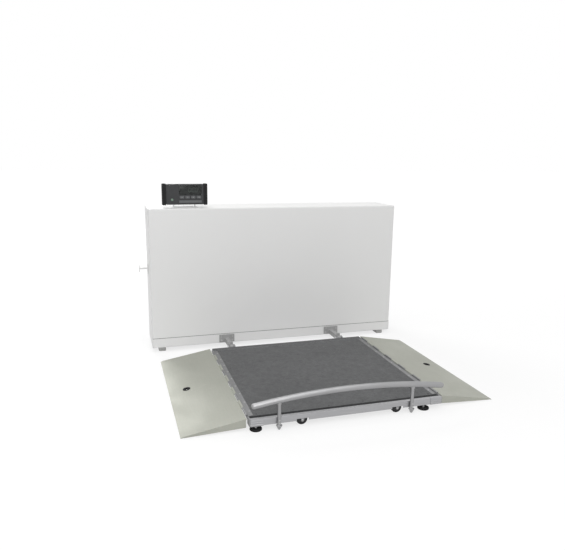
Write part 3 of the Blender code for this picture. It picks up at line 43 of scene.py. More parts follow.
# Floor, sky and lamps, each lamp with its name, place, target, size and power
FLOOR_HALF = 30.0
FLOOR_BOUNCE = 0.72
FLOOR_SEEN = 0.30
FLOOR_GLOW_NEAR = 0.72
FLOOR_GLOW_FAR = 0.88
FLOOR_NEAR = 0.8
FLOOR_FAR = 6.0
SKY_LEVEL = 0.45
LAMPS = (
    ("top_softbox", (-0.3, -1.2, 4.0), (0.0, 0.0, 0.0), 4.0, 58.0),
    ("front_softbox", (-0.9, -4.4, 2.4), (0.0, 0.4, 0.3), 3.0, 62.0),
    ("window", (-1.4, 4.7, 2.9), (-0.5, -0.2, 0.0), 2.8, 118.0),
)

# Materials: where most values of a noise lie, and how far a rounded normal leans at an edge
NOISE_START = 0.35
NOISE_END = 0.65
EDGE_LEAN = 0.80
FLAT_LEAN = 0.995
EDGE_SAMPLES = 4
WINDOW_CLEARNESS = 0.92
WINDOW_IOR = 1.22

# Directions
FRONTWARD = (0, -1, 0)
BACKWARD = (0, 1, 0)
RIGHTWARD = (1, 0, 0)
UPWARD = (0, 0, 1)
DOWNWARD = (0, 0, -1)

# Mesh work, with a rounded edge as pairs of how far it is drawn in and how far it has risen
WELD = 0.000002
FLAT_DEGREES = 0.3
SHARP_DEGREES = 32
EDGE_ROUND = 0.0006
FINE_ROUND = 0.0003
ROUND_STEPS = 2
FLAT_FACE_WEIGHT = 100
LATHE_SIDES = 48
ROD_SIDES = 32
CORNER_STEPS = 6
LEAST_CORNER_SHARE = 1 / 8
EDGE_SHARES = ((0.0, 0.0), (0.08, 0.38), (0.29, 0.71), (0.62, 0.92), (1.0, 1.0))
GROOVE_MOUTH_SHARE = 1.2
GROOVE_FLOOR_SHARE = 0.5

# Heads of screws and bolts: radius, height, recess and how much of the height is domed
PANEL_SCREW = (0.0036, 0.0018, "cross", 0.6)
BRACKET_BOLT = (0.0050, 0.0042, "hex", 0.2)
INLET_SCREW = (0.0022, 0.0009, "cross", 0.35)
READOUT_SCREW = (0.0028, 0.0018, "cross", 0.6)
JUNCTION_SCREW = (0.0028, 0.0009, "cross", 0.35)
DECK_SCREW = (0.0042, 0.0005, "hex", 0.6)
POST_BOLT = (0.0036, 0.0022, "hex", 0.35)

# The crown and the recess of a head, as shares of its radius, height and dome
CROWN_RIM = 0.93
CROWN_FLAT = 0.78
CROWN_FALL = 0.3
RECESS_SIDES = 48
RECESS_FLOOR = 0.30
HEX_REACH = 0.52
CROSS_ARM = 0.58
CROSS_HALF_WIDTH = 0.15
LEAST_COSINE = 0.001

# Cabinet
COVER_EDGE = 0.006
COVER_EDGE_STEPS = 5
COVER_WALL = 0.003
# The strip in the seam under the cover is painted shade for the dark of the seam.
SEAM_STRIP_SET_BACK = 0.0012
SEAM_STRIP_WIDTH = 0.004
FOOT_BAR_EDGE = 0.003
FOOT_BAR_GROOVES = 16
FOOT_BAR_GROOVE_DEPTH = 0.0011
BACK_SCREW_INSET = 0.012
BACK_SCREW_COLUMNS = 7
BACK_SCREW_ROWS = 4
BOLT_SPREAD = 0.029
BOLT_RISE_SHARES = (0.28, 0.76)
FLANGE_THICKNESS = 0.005
ARM_WIDTH = 0.020
WELD_RADIUS = 0.0016
WELD_STEP = 0.0016
WELD_RIPPLE = 0.14
WELD_SIDES = 12
CLEAT_ROUND = 0.0016
CLEAT_ROUND_STEPS = 3
INLET_SCREW_SHARE = 0.40
BLADE_WIDTH = 0.0020
BLADE_HEIGHT = 0.0052
BLADE_LENGTH = 0.0120
BLADE_SET_BACK = 0.0020
BLADE_PLACES = ((-0.0042, -0.0035), (0.0042, -0.0035), (0.0, 0.0042))

# Readout
READOUT_ROUND = 0.0008
CAP_EDGE = 0.0045
CAP_GROOVES = 4
CAP_GROOVE_DEPTH = 0.0006
WINDOW_CORNER = 0.002
WINDOW_EDGE = 0.0006
LABEL_CORNER = 0.0012
LABEL_EDGE = 0.0003
VENT_COUNT = 7
VENT_PITCH = 0.0052
VENT_LENGTH = 0.070
VENT_HEIGHT = 0.0020
VENT_PROUD = 0.0009
READOUT_SCREW_INSET = 0.009

# Display of noughts, each of six bars in shares of its width and height
FIGURE_COUNT = 5
BLANK_COUNT = 2
FIGURE_HEIGHT = 0.020
FIGURE_WIDTH = 0.0105
FIGURE_PITCH = 0.0165
FIGURE_STROKE = 0.0019
FIGURE_GAP_SHARE = 0.62
FIGURE_THICKNESS = 0.00012
FIGURE_LEAN = 0.08
POINT_RADIUS = 0.0011
POINT_SIDES = 12
NOUGHT_BARS = (((0, 1), (1, 1)), ((0, 0), (1, 0)), ((0, 0.5), (0, 1)),
               ((1, 0.5), (1, 1)), ((0, 0), (0, 0.5)), ((1, 0), (1, 0.5)))

# Keys, with the strokes of each one's sign in shares of the sign's reach
KEY_CORNER = 0.002
KEY_EDGE = 0.0007
KEY_FLANGE = 0.0012
KEY_FLANGE_DEPTH = 0.0024
POWER_EDGE = 0.0009
SIGN_REACH = 0.0030
SIGN_STROKE = 0.0007
SIGN_PROUD = 0.00006
SIGN_SIDES = 32
HOLD_STROKE_SHARE = 1.4
OVAL_WIDTH_SHARE = 0.7
RING_SHARE = 0.9
RING_START = 125
RING_SWEEP = 290
RING_STEPS = 24
SIGN_STROKES = {
    "units_key": (((1, -0.42), (-1, -0.42)), ((-1, -0.42), (-0.5, -0.92)),
                  ((-1, 0.42), (1, 0.42)), ((1, 0.42), (0.5, 0.92))),
    "zero_key": (),
    "hold_key": (((-0.4, -0.8), (-0.4, 0.8)), ((0.4, -0.8), (0.4, 0.8))),
    "recall_key": (((-0.9, 0), (0.9, 0.9)), ((0.9, 0.9), (0.9, -0.9)), ((0.9, -0.9), (-0.9, 0))),
    "power_key": (((0, 0.2), (0, 1.05)),),
}

# Platform
STRIP_MARGIN = 0.0010
STRIP_FRONT_MARGIN = 0.017
STRIP_CORNER = 0.004
STRIP_THICKNESS = 0.0005
GUARD_LENGTH = 0.050
GUARD_WALL = 0.0012
GUARD_WRAP = 0.009
GUARD_SEAT = 0.0002
GUARD_RIDGES = 3
GUARD_RIDGE_HALF = 0.0018
GUARD_RIDGE_PROUD = 0.0011
RIVET_COUNT = 9
RIVET_RADIUS = 0.0030
RIVET_HEIGHT = 0.0009
RIVET_CROWN_SHARE = 0.7
RIVET_SIDES = 24
RIVET_END = 0.045
LEAF_MIDDLE = 0.00625
DECK_SCREW_INSET = 0.014
DECK_SCREW_COLUMNS = 6
DECK_SCREW_ROWS = 4

# Grab rail and its posts
RAIL_RADIUS = 0.0115
RAIL_RISE = 0.032
RAIL_STEPS = 72
RAIL_DOME_STEPS = 8
RAIL_SIDES = 40
POST_RADIUS = 0.0072
POST_TIP_RADIUS = 0.004
POST_FOOT_TOP = 0.0185
POST_FOOT_SHOULDER = 0.003
COLLAR_RADIUS = 0.0092
COLLAR_HEIGHT = 0.007
POST_BOLT_RISES = (0.0285, 0.0405)
POST_BOLT_SINK = 0.00055

# Wheels: the hub's rings are pairs of a share of the rim and how far the dish is filled there
TYRE_WIDTH = 0.014
TYRE_ROUND = 0.0030
TYRE_SIDES = 64
TREAD_DEPTH = 0.0008
TREAD_SHARES = (-0.24, 0.0, 0.24)
TREAD_HALF = 0.0007
TREAD_FLOOR_SHARE = 0.6
RIM_RADIUS = 0.0150
RIM_DISH = 0.0022
HUB_SIDES = 80
HUB_RINGS = ((0.35, 1.0), (0.42, 1.0), (0.47, 0.55), (0.56, 0.0), (0.86, 0.0), (0.93, 0.7), (1.0, 0.7))
BOSS_SHARE = 0.45
SPOKE_COUNT = 5
SPOKE_STEEPNESS = 2.2
SPOKE_THINNING = 0.4
SPOKE_FILL = 0.8
AXLE_CHAMFER = 0.0006

# Feet of the load cells: a ridge, then a groove, in shares of their pitch
FOOT_THICKNESS = 0.008
FOOT_EDGE = 0.0015
FOOT_RIDGES = 3
FOOT_RIDGE_DEPTH = 0.0009
FOOT_RIDGE_SHARES = (0.5, 0.65, 0.85)
STEM_RADIUS = 0.005
STEM_PITCH = 0.0012
STEM_THREAD = 0.0004

# Ramps and their grommets
RAMP_THICKNESS = 0.004
RAMP_SLOPE = 9.8
GROMMET_BORE = 0.0095
GROMMET_NECK = 0.0122
GROMMET_LIP = 0.0165
GROMMET_LIP_HEIGHT = 0.0015

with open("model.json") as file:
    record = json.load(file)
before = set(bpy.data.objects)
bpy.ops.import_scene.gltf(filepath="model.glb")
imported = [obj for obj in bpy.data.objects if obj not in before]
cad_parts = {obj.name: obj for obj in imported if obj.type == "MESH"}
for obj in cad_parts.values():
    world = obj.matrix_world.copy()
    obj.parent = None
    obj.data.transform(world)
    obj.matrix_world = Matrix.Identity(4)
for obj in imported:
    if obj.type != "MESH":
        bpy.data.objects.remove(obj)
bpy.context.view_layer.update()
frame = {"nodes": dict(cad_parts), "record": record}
nodes = frame["nodes"]
body_of = {node: body for body, names in frame["record"]["behaviour"]["bodies"].items() for node in names}


# Materials


def add_node(tree, kind, output, inputs, **settings):
    """One output of a new node, whose inputs are given as values or as other nodes' outputs."""
    node = tree.nodes.new(kind)
    for name, value in settings.items():
        setattr(node, name, value)
    for name, value in inputs.items():
        if isinstance(value, bpy.types.NodeSocket):
            tree.links.new(value, node.inputs[name])
        else:
            node.inputs[name].default_value = value
    return node.outputs[output]


def spread(tree, value, low, high, start, end):
    """A value's range from start to end, spread out from low to high."""
    inputs = {"Value": value, "From Min": start, "From Max": end, "To Min": low, "To Max": high}
    return add_node(tree, "ShaderNodeMapRange", "Result", inputs)


def shade(colour, factor, lift=0.0):
    """A colour made darker or lighter."""
    return [min(1.0, c * factor + lift) for c in colour]


def drawn_out(axis, share):
    """The stretch of a pattern that is drawn out along one axis."""
    return [share if name == axis else 1.0 for name in "xyz"]


class Surface:
    """A node material with one Principled shader."""

    def __init__(self, name, colour, roughness, metallic=0.0, shine=0.5):
        self.material = bpy.data.materials.new(name)
        self.material.use_nodes = True
        self.tree = self.material.node_tree
        self.inputs = self.tree.nodes["Principled BSDF"].inputs
        self.inputs["Metallic"].default_value = metallic
        self.inputs["Specular IOR Level"].default_value = shine
        self.inputs["Base Color"].default_value = (*colour, 1.0)
        self.inputs["Roughness"].default_value = roughness
        self.material.diffuse_color = (*colour, 1.0)
        self.place = self.add("ShaderNodeTexCoord", "Object", {})

    def add(self, kind, output, inputs, **settings):
        return add_node(self.tree, kind, output, inputs, **settings)

    def noise(self, scale, detail=3.0, stretch=(1.0, 1.0, 1.0), distortion=0.0):
        place = self.add("ShaderNodeMapping", "Vector", {"Vector": self.place, "Scale": stretch})
        inputs = {"Vector": place, "Scale": scale, "Detail": detail, "Distortion": distortion}
        return self.add("ShaderNodeTexNoise", "Fac", inputs)

    def cells(self, scale):
        return self.add("ShaderNodeTexVoronoi", "Distance", {"Vector": self.place, "Scale": scale})

    def tint(self, share, colour):
        """The base colour turns towards another one by a share."""
        base = self.inputs["Base Color"]
        before = base.links[0].from_socket if base.is_linked else base.default_value
        inputs = {"Factor": share, "A": before, "B": (*colour, 1.0)}
        self.tree.links.new(self.add("ShaderNodeMix", "Result", inputs, data_type="RGBA"), base)

    def stain(self, value, most, colour, start=NOISE_START, end=NOISE_END):
        """The base colour turns towards another one where a noise is high, at most by a share."""
        self.tint(spread(self.tree, value, 0.0, most, start, end), colour)

    def rough(self, value, low, high):
        self.tree.links.new(spread(self.tree, value, low, high, NOISE_START, NOISE_END),
                            self.inputs["Roughness"])

    def relief(self, height, distance, strength):
        inputs = {"Height": height, "Distance": distance, "Strength": strength}
        normal = self.inputs["Normal"]
        if normal.is_linked:
            inputs["Normal"] = normal.links[0].from_socket
        self.tree.links.new(self.add("ShaderNodeBump", "Normal", inputs), normal)

    def worn_edges(self, radius, colour, share):
        """Edges rub towards another colour, found by how far a rounded normal leans."""
        bent = self.add("ShaderNodeBevel", "Normal", {"Radius": radius}, samples=EDGE_SAMPLES)
        plain = self.add("ShaderNodeNewGeometry", "True Normal", {})
        lean = self.add("ShaderNodeVectorMath", "Value", {0: bent, 1: plain}, operation="DOT_PRODUCT")
        edge = spread(self.tree, lean, share, 0.0, EDGE_LEAN, FLAT_LEAN)
        patch = spread(self.tree, self.noise(scale=60.0, detail=4.0), 0.15, 1.0, NOISE_START, NOISE_END)
        self.tint(self.add("ShaderNodeMath", "Value", {0: edge, 1: patch}, operation="MULTIPLY"), colour)


def coated(name, colour, worn):
    """Powder coat: a fine orange peel and faint uneven sheen."""
    surface = Surface(name, colour, roughness=0.42, shine=0.22)
    surface.stain(surface.noise(scale=3.0), 0.22, shade(colour, 0.95))
    surface.rough(surface.noise(scale=11.0), low=0.40, high=0.46)
    surface.relief(surface.noise(scale=700.0, detail=2.0), distance=0.00005, strength=0.5)
    surface.worn_edges(radius=0.0012, colour=worn, share=0.35)
    return surface.material


def extruded(name, colour, axis, roughness=0.40):
    """Drawn aluminium, with lines along its length and dull handled patches."""
    surface = Surface(name, colour, roughness, metallic=1.0)
    lines = surface.noise(scale=420.0, detail=4.0, stretch=drawn_out(axis, 0.03))
    surface.stain(lines, 0.45, shade(colour, 0.80))
    surface.stain(surface.noise(scale=9.0, detail=5.0), 0.35, shade(colour, 0.86))
    surface.rough(surface.noise(scale=23.0, detail=4.0), low=roughness * 0.8, high=roughness * 1.2)
    surface.relief(lines, distance=0.00006, strength=0.5)
    surface.worn_edges(radius=0.0010, colour=shade(colour, 1.6), share=0.55)
    return surface.material


def tread_metal(name, colour):
    """Rolled sheet, scuffed by wheels that run up it."""
    surface = Surface(name, colour, roughness=0.42, metallic=0.35)
    rolled = surface.noise(scale=300.0, detail=4.0, stretch=drawn_out("y", 0.06))
    surface.stain(rolled, 0.35, shade(colour, 0.86))
    blotch = surface.noise(scale=5.0, detail=6.0, stretch=drawn_out("y", 0.7), distortion=0.4)
    surface.stain(blotch, 0.40, shade(colour, 0.82))
    scuff = surface.noise(scale=210.0, detail=4.0, stretch=drawn_out("x", 0.05), distortion=0.8)
    surface.stain(scuff, 0.30, shade(colour, 1.3), start=0.58, end=0.78)
    surface.rough(blotch, low=0.52, high=0.62)
    surface.relief(rolled, distance=0.00005, strength=0.4)
    surface.relief(scuff, distance=0.00008, strength=0.3)
    surface.worn_edges(radius=0.0012, colour=shade(colour, 1.7), share=0.6)
    return surface.material


def polished(name, colour, roughness):
    """Steel with fine wear along and across."""
    surface = Surface(name, colour, roughness, metallic=1.0)
    surface.stain(surface.noise(scale=14.0, detail=4.0), 0.30, shade(colour, 0.84))
    scratches = surface.noise(scale=900.0, detail=3.0, stretch=drawn_out("x", 0.05))
    surface.rough(scratches, low=roughness * 0.8, high=roughness * 1.3)
    surface.relief(scratches, distance=0.00002, strength=0.3)
    return surface.material


def gritted(name, colour):
    """Anti-slip sheet: pale grit set in a dark coat, with worn and dirty patches."""
    surface = Surface(name, colour, roughness=0.80, shine=0.35)
    grit = surface.cells(scale=520.0)
    surface.tint(spread(surface.tree, grit, low=0.85, high=0.0, start=0.10, end=0.42), shade(colour, 2.3))
    worn = surface.noise(scale=4.0, detail=6.0, stretch=drawn_out("x", 0.5))
    surface.stain(worn, 0.5, shade(colour, 1.35))
    surface.stain(surface.noise(scale=70.0, detail=4.0), 0.35, shade(colour, 0.6))
    surface.rough(surface.noise(scale=30.0, detail=3.0), low=0.72, high=0.90)
    surface.relief(grit, distance=0.0008, strength=0.9)
    return surface.material


def moulded(name, colour, roughness, grain=900.0, shine=0.5):
    """Moulded plastic with an eroded tool grain."""
    surface = Surface(name, colour, roughness, shine=shine)
    surface.stain(surface.noise(scale=26.0, detail=4.0), 0.35, shade(colour, 0.82))
    surface.rough(surface.noise(scale=45.0, detail=3.0), low=roughness * 0.88, high=roughness * 1.12)
    surface.relief(surface.noise(scale=grain, detail=2.0), distance=0.00006, strength=0.6)
    surface.worn_edges(radius=0.0008, colour=shade(colour, 1.5, 0.02), share=0.35)
    return surface.material


def rubbery(name, colour):
    """Rubber with a dusty bloom and fine pores."""
    surface = Surface(name, colour, roughness=0.78, shine=0.30)
    dust = surface.noise(scale=34.0, detail=6.0)
    surface.stain(dust, 0.55, shade(colour, 2.2, 0.008), start=0.45, end=0.75)
    surface.rough(dust, low=0.70, high=0.88)
    surface.relief(surface.noise(scale=1100.0, detail=2.0), distance=0.00008, strength=0.6)
    return surface.material


def smoked(name, colour):
    """Tinted window over the display."""
    surface = Surface(name, colour, roughness=0.06, shine=0.11)
    surface.inputs["Transmission Weight"].default_value = WINDOW_CLEARNESS
    surface.inputs["IOR"].default_value = WINDOW_IOR
    surface.rough(surface.noise(scale=40.0, detail=4.0), low=0.04, high=0.10)
    surface.relief(surface.noise(scale=260.0, detail=2.0), distance=0.00001, strength=0.2)
    return surface.material


def board(name, colour):
    """Solder mask over copper tracks."""
    surface = Surface(name, colour, roughness=0.35)
    tracks = surface.noise(scale=260.0, detail=1.0, stretch=drawn_out("z", 0.15))
    surface.stain(tracks, 0.8, shade(colour, 1.9), start=0.50, end=0.54)
    surface.relief(tracks, distance=0.00004, strength=0.6)
    return surface.material


surfaces = {
    "white_coat": coated("white_powder_coat", (0.86, 0.86, 0.855), (0.62, 0.62, 0.61)),
    "grey_coat": coated("grey_powder_coat", (0.40, 0.40, 0.40), (0.62, 0.62, 0.61)),
    "aluminium": extruded("beam_aluminium", (0.42, 0.42, 0.43), "x"),
    # The side beams, end caps and forks get a darker copy of the beam aluminium, with painted shade in its
    # colour.
    "side_aluminium": extruded("shaded_leaf_aluminium", (0.31, 0.31, 0.315), "y", 0.52),
    "ramp_metal": tread_metal("ramp_sheet", (0.452, 0.459, 0.404)),
    "steel": polished("zinc_steel", (0.52, 0.52, 0.52), 0.30),
    "rail_steel": polished("rail_steel", (0.35, 0.35, 0.355), 0.36),
    "dark_steel": polished("blackened_steel", (0.10, 0.10, 0.105), 0.42),
    "dark_deck": gritted("anti_slip_deck", (0.122, 0.124, 0.126)),
    "rubber": rubbery("black_rubber", (0.016, 0.016, 0.017)),
    "pale_rubber": moulded("pale_rubber", (0.50, 0.50, 0.49), 0.70, 1100.0),
    # Grey of the strip in the cover's seam: painted shade for the dark of the seam.
    "seam_shade": moulded("seam_shade_grey", (0.20, 0.20, 0.20), 0.70, 1100.0),
    "dark_plastic": moulded("dark_plastic", (0.018, 0.019, 0.021), 0.48),
    "grey_plastic": moulded("grey_plastic", (0.11, 0.114, 0.118), 0.50),
    "light_plastic": moulded("light_plastic", (0.60, 0.60, 0.59), 0.48),
    "smoked_glass": smoked("smoked_window", (0.34, 0.36, 0.35)),
    "board_green": board("circuit_board", (0.010, 0.090, 0.035)),
    "green_key": moulded("green_key", (0.12, 0.20, 0.14), 0.42),
    "lcd": moulded("display_glass", (0.012, 0.014, 0.013), 0.30, 300.0, 0.08),
    "lcd_ink": moulded("display_segments", (0.42, 0.48, 0.43), 0.45, 300.0, 0.08),
    "sign_ink": moulded("key_signs", (0.44, 0.44, 0.43), 0.50),
}


# Mesh helpers


def facing(centre, outward):
    """A place whose third axis points outward and whose second is up or, for floor and roof, away."""
    w = Vector(outward).normalized()
    v = Vector(UPWARD)
    if abs(w.z) > abs(w.x) + abs(w.y):
        v = Vector(BACKWARD)
    u = v.cross(w).normalized()
    v = w.cross(u)
    place = Matrix((u, v, w)).transposed().to_4x4()
    place.translation = Vector(centre)
    return place


def middle(node):
    low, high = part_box(node)
    return (low + high) / 2


def front_of(node):
    """The place in the middle of a part's front, and the part's size."""
    low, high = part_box(node)
    return facing(((low.x + high.x) / 2, low.y, (low.z + high.z) / 2), FRONTWARD), high - low


def turns(sides):
    return [2 * math.pi * k / sides for k in range(sides)]


def circle(radius, sides=LATHE_SIDES):
    return [(radius * math.cos(t), radius * math.sin(t)) for t in turns(sides)]


def raised(outline, height):
    return [(x, y, height) for x, y in outline]


def loft(shape, rings, place=Matrix.Identity(4), closed=False):
    """Skins rings of one count in order, and caps them or joins the last to the first."""
    rows = [[shape.verts.new(place @ Vector(point)) for point in ring] for ring in rings]
    pairs = list(zip(rows, rows[1:]))
    if closed:
        pairs.append((rows[-1], rows[0]))
    for one, other in pairs:
        for i in range(len(one)):
            j = (i + 1) % len(one)
            shape.faces.new((one[i], one[j], other[j], other[i]))
    if not closed:
        shape.faces.new(list(reversed(rows[0])))
        shape.faces.new(rows[-1])


def lathe(shape, place, profile, sides=LATHE_SIDES, closed=False):
    """Turns pairs of a radius and a height about the place's third axis."""
    loft(shape, [raised(circle(radius, sides), height) for radius, height in profile], place, closed)


def rounded(width, height, corner):
    """A rectangle with round corners, about its middle."""
    points = []
    for k, (sx, sy) in enumerate(((1, 1), (-1, 1), (-1, -1), (1, -1))):
        cx = sx * (width / 2 - corner)
        cy = sy * (height / 2 - corner)
        for step in range(CORNER_STEPS + 1):
            angle = math.pi / 2 * (k + step / CORNER_STEPS)
            points.append((cx + corner * math.cos(angle), cy + corner * math.sin(angle)))
    return points


def slab(shape, place, size, corner, low, high, edge):
    """A plate with round corners and a rounded rim at its outer face."""
    width, height = size
    rings = [raised(rounded(width, height, corner), low)]
    for inset, rise in EDGE_SHARES:
        drawn_in = inset * edge
        least = edge * LEAST_CORNER_SHARE
        outline = rounded(width - 2 * drawn_in, height - 2 * drawn_in, max(corner - drawn_in, least))
        rings.append(raised(outline, high - edge + rise * edge))
    loft(shape, rings, place)


def bar(shape, place, start, end, width, height):
    """A straight stroke with pointed ends, between two points of the place's plane."""
    start, end = Vector(start), Vector(end)
    along = (end - start).normalized()
    across = Vector((-along.y, along.x)) * width / 2
    tip = along * width / 2
    outline = [start - tip, start + across, end + across, end + tip, end - across, start - across]
    loft(shape, [raised(outline, 0.0), raised(outline, height)], place)


def grooves(start, end, count, edge, depth):
    """Stations along a bar with how far its sides are drawn in, round at both ends and at each groove."""
    stations = [(start + edge * (1 - rise), edge * inset) for inset, rise in reversed(EDGE_SHARES)]
    pitch = (end - start - 2 * edge) / count
    mouth, floor_half = depth * GROOVE_MOUTH_SHARE, depth * GROOVE_FLOOR_SHARE
    for k in range(1, count):
        here = start + edge + pitch * k
        stations += [(here - mouth, 0.0), (here - floor_half, depth)]
        stations += [(here + floor_half, depth), (here + mouth, 0.0)]
    return stations + [(end - edge * (1 - rise), edge * inset) for inset, rise in EDGE_SHARES]


def border(left, right, bottom, top, inset, columns, rows):
    """Points spread evenly round a rectangle, set in from its edge."""
    left, right, bottom, top = left + inset, right - inset, bottom + inset, top - inset
    points = []
    for k in range(columns):
        x = left + (right - left) * k / (columns - 1)
        points += [(x, bottom), (x, top)]
    for k in range(1, rows - 1):
        y = bottom + (top - bottom) * k / (rows - 1)
        points += [(left, y), (right, y)]
    return points


def hex_recess(radius):
    """How far a hexagonal socket reaches, turn by turn."""
    flat = radius * HEX_REACH
    return [flat / math.cos(t % (math.pi / 3) - math.pi / 6) for t in turns(RECESS_SIDES)]


def cross_recess(radius):
    """How far a cross-shaped slot reaches, turn by turn."""
    arm, half = radius * CROSS_ARM, radius * CROSS_HALF_WIDTH
    reaches = []
    for t in turns(RECESS_SIDES):
        c = max(abs(math.cos(t)), LEAST_COSINE)
        s = max(abs(math.sin(t)), LEAST_COSINE)
        reaches.append(max(min(arm / c, half / s), min(half / c, arm / s)))
    return reaches


RECESSES = {"hex": hex_recess, "cross": cross_recess}


def head(shape, place, kind):
    """A screw or bolt head with a recess, standing on the place."""
    radius, height, recess, dome = kind
    crown = ((1.0, 0.0), (1.0, 1 - dome), (CROWN_RIM, 1 - dome * CROWN_FALL), (CROWN_FLAT, 1.0))
    rings = [raised(circle(radius * share, RECESS_SIDES), rise * height) for share, rise in crown]
    reaches = zip(RECESSES[recess](radius), turns(RECESS_SIDES))
    socket = [(reach * math.cos(t), reach * math.sin(t)) for reach, t in reaches]
    loft(shape, rings + [raised(socket, height), raised(socket, height * RECESS_FLOOR)], place)


def new_shape(draw, *details):
    """A shape of its own, drawn by one of the functions above."""
    shape = bmesh.new()
    draw(shape, *details)
    return shape


def add_piece(shape, name, material, body):
    """A piece with outward faces, smooth but for its sharp edges, that rides on a body."""
    bmesh.ops.recalc_face_normals(shape, faces=shape.faces)
    mesh = bpy.data.meshes.new(name)
    shape.to_mesh(mesh)
    shape.free()
    for face in mesh.polygons:
        face.use_smooth = True
    mesh.set_sharp_from_angle(angle=math.radians(SHARP_DEGREES))
    mesh.materials.append(surfaces[material])
    piece = bpy.data.objects.new(name, mesh)
    bpy.context.scene.collection.objects.link(piece)
    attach(piece, body)
    return piece


def stand_in(shape, node, suffix, material):
    """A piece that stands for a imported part."""
    piece = add_piece(shape, node + suffix, material, body_of[node])
    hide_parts(node)
    return piece


def soften(piece, width, steps=ROUND_STEPS):
    bevel = piece.modifiers.new("edges", "BEVEL")
    bevel.width = width
    bevel.segments = steps
    bevel.limit_method = "ANGLE"
    bevel.angle_limit = math.radians(SHARP_DEGREES)
    bevel.harden_normals = True


def dress(*names, material=None, width=EDGE_ROUND, steps=ROUND_STEPS):
    """Stand-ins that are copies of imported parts, with their faces joined and their edges rounded."""
    for node in names:
        source = nodes[node].data
        plain = bpy.data.meshes.new(node)
        plain.from_pydata([v.co for v in source.vertices], [], [tuple(p.vertices) for p in source.polygons])
        shape = bmesh.new()
        shape.from_mesh(plain)
        bmesh.ops.remove_doubles(shape, verts=shape.verts, dist=WELD)
        flat = math.radians(FLAT_DEGREES)
        bmesh.ops.dissolve_limit(shape, angle_limit=flat, verts=shape.verts, edges=shape.edges)
        slot = source.materials[0].name
        soften(stand_in(shape, node, "_finished", material or slot), width, steps)


def fasteners(name, material, body, spots, outward, kind):
    """Heads of one kind of screw or bolt, as one piece."""
    shape = bmesh.new()
    for spot in spots:
        head(shape, facing(spot, outward), kind)
    add_piece(shape, name, material, body)


# Cabinet


def cabinet_shell():
    """Front, sides and top of the cover as one folded sheet with round edges."""
    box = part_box("cabinet_cover")
    shape = bmesh.new()
    corners = {(i, j, k): shape.verts.new((box[i].x, box[j].y, box[k].z))
               for i in (0, 1) for j in (0, 1) for k in (0, 1)}
    walls = (((0, 0, 0), (1, 0, 0), (1, 0, 1), (0, 0, 1)), ((0, 1, 0), (0, 0, 0), (0, 0, 1), (0, 1, 1)),
             ((1, 0, 0), (1, 1, 0), (1, 1, 1), (1, 0, 1)), ((0, 0, 1), (1, 0, 1), (1, 1, 1), (0, 1, 1)))
    for wall in walls:
        shape.faces.new([corners[key] for key in wall])
    folds = [edge for edge in shape.edges if len(edge.link_faces) == 2]
    bmesh.ops.bevel(shape, geom=folds, offset=COVER_EDGE, segments=COVER_EDGE_STEPS, profile=0.5,
                    affect="EDGES", clamp_overlap=True)
    piece = stand_in(shape, "cabinet_cover", "_shell", "white_coat")
    wall = piece.modifiers.new("wall", "SOLIDIFY")
    wall.thickness = COVER_WALL
    wall.offset = -1
    even = piece.modifiers.new("normals", "WEIGHTED_NORMAL")
    even.keep_sharp = True
    even.weight = FLAT_FACE_WEIGHT


def seam_shade_strip():
    """A grey strip in the seam under the cover: painted shade that stands for the dark of the seam."""
    low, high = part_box("cabinet_cover")
    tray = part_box("base_tray")[1].z
    left, right = low.x + SEAM_STRIP_SET_BACK, high.x - SEAM_STRIP_SET_BACK
    front, back = low.y + SEAM_STRIP_SET_BACK, high.y
    outline = [(left, back), (left, front), (right, front), (right, back),
               (right - SEAM_STRIP_WIDTH, back), (right - SEAM_STRIP_WIDTH, front + SEAM_STRIP_WIDTH),
               (left + SEAM_STRIP_WIDTH, front + SEAM_STRIP_WIDTH), (left + SEAM_STRIP_WIDTH, back)]
    shape = new_shape(loft, [raised(outline, tray), raised(outline, low.z)])
    soften(add_piece(shape, "seam_shade_strip", "seam_shade", "cabinet"), FINE_ROUND)


def cabinet_foot(node):
    """Rubber bar with grooves down its sides."""
    low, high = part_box(node)
    centre, size = (low + high) / 2, high - low
    rings = []
    for station, depth in grooves(low.y, high.y, FOOT_BAR_GROOVES, FOOT_BAR_EDGE, FOOT_BAR_GROOVE_DEPTH):
        outline = rounded(size.x - 2 * depth, size.z, FOOT_BAR_EDGE)
        rings.append([(centre.x + x, station, centre.z + z) for x, z in outline])
    stand_in(new_shape(loft, rings), node, "_ribbed", "pale_rubber")


def back_panel_screws():
    low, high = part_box("cabinet_back_panel")
    places = border(low.x, high.x, low.z, high.z, BACK_SCREW_INSET, BACK_SCREW_COLUMNS, BACK_SCREW_ROWS)
    spots = [(x, high.y, z) for x, z in places]
    fasteners("back_panel_screws", "steel", "cabinet", spots, BACKWARD, PANEL_SCREW)


def bracket_bolts():
    """Socket bolts through each bracket's flange."""
    spots = []
    for node in ("hinge_bracket_left", "hinge_bracket_right"):
        low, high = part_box(node)
        for side in (-1, 1):
            x = (low.x + high.x) / 2 + side * BOLT_SPREAD
            for share in BOLT_RISE_SHARES:
                spots.append((x, high.y - FLANGE_THICKNESS, low.z + (high.z - low.z) * share))
    fasteners("bracket_bolts", "steel", "cabinet", spots, FRONTWARD, BRACKET_BOLT)


def weld_ring(shape, place, width, height):
    """A rippled bead round the root of a square bar."""
    corners = [Vector(point) for point in rounded(width, height, WELD_RADIUS)]
    points = []
    for start, end in zip(corners, corners[1:] + corners[:1]):
        steps = max(1, round((end - start).length / WELD_STEP))
        points += [start.lerp(end, k / steps) for k in range(steps)]
    rings = []
    for k, point in enumerate(points):
        along = (points[(k + 1) % len(points)] - points[k - 1]).normalized()
        size = WELD_RADIUS * (1 + WELD_RIPPLE * (k % 2))
        bead = circle(size, WELD_SIDES)
        rings.append([(point.x + along.y * u, point.y - along.x * u, v) for u, v in bead])
    loft(shape, rings, place, True)


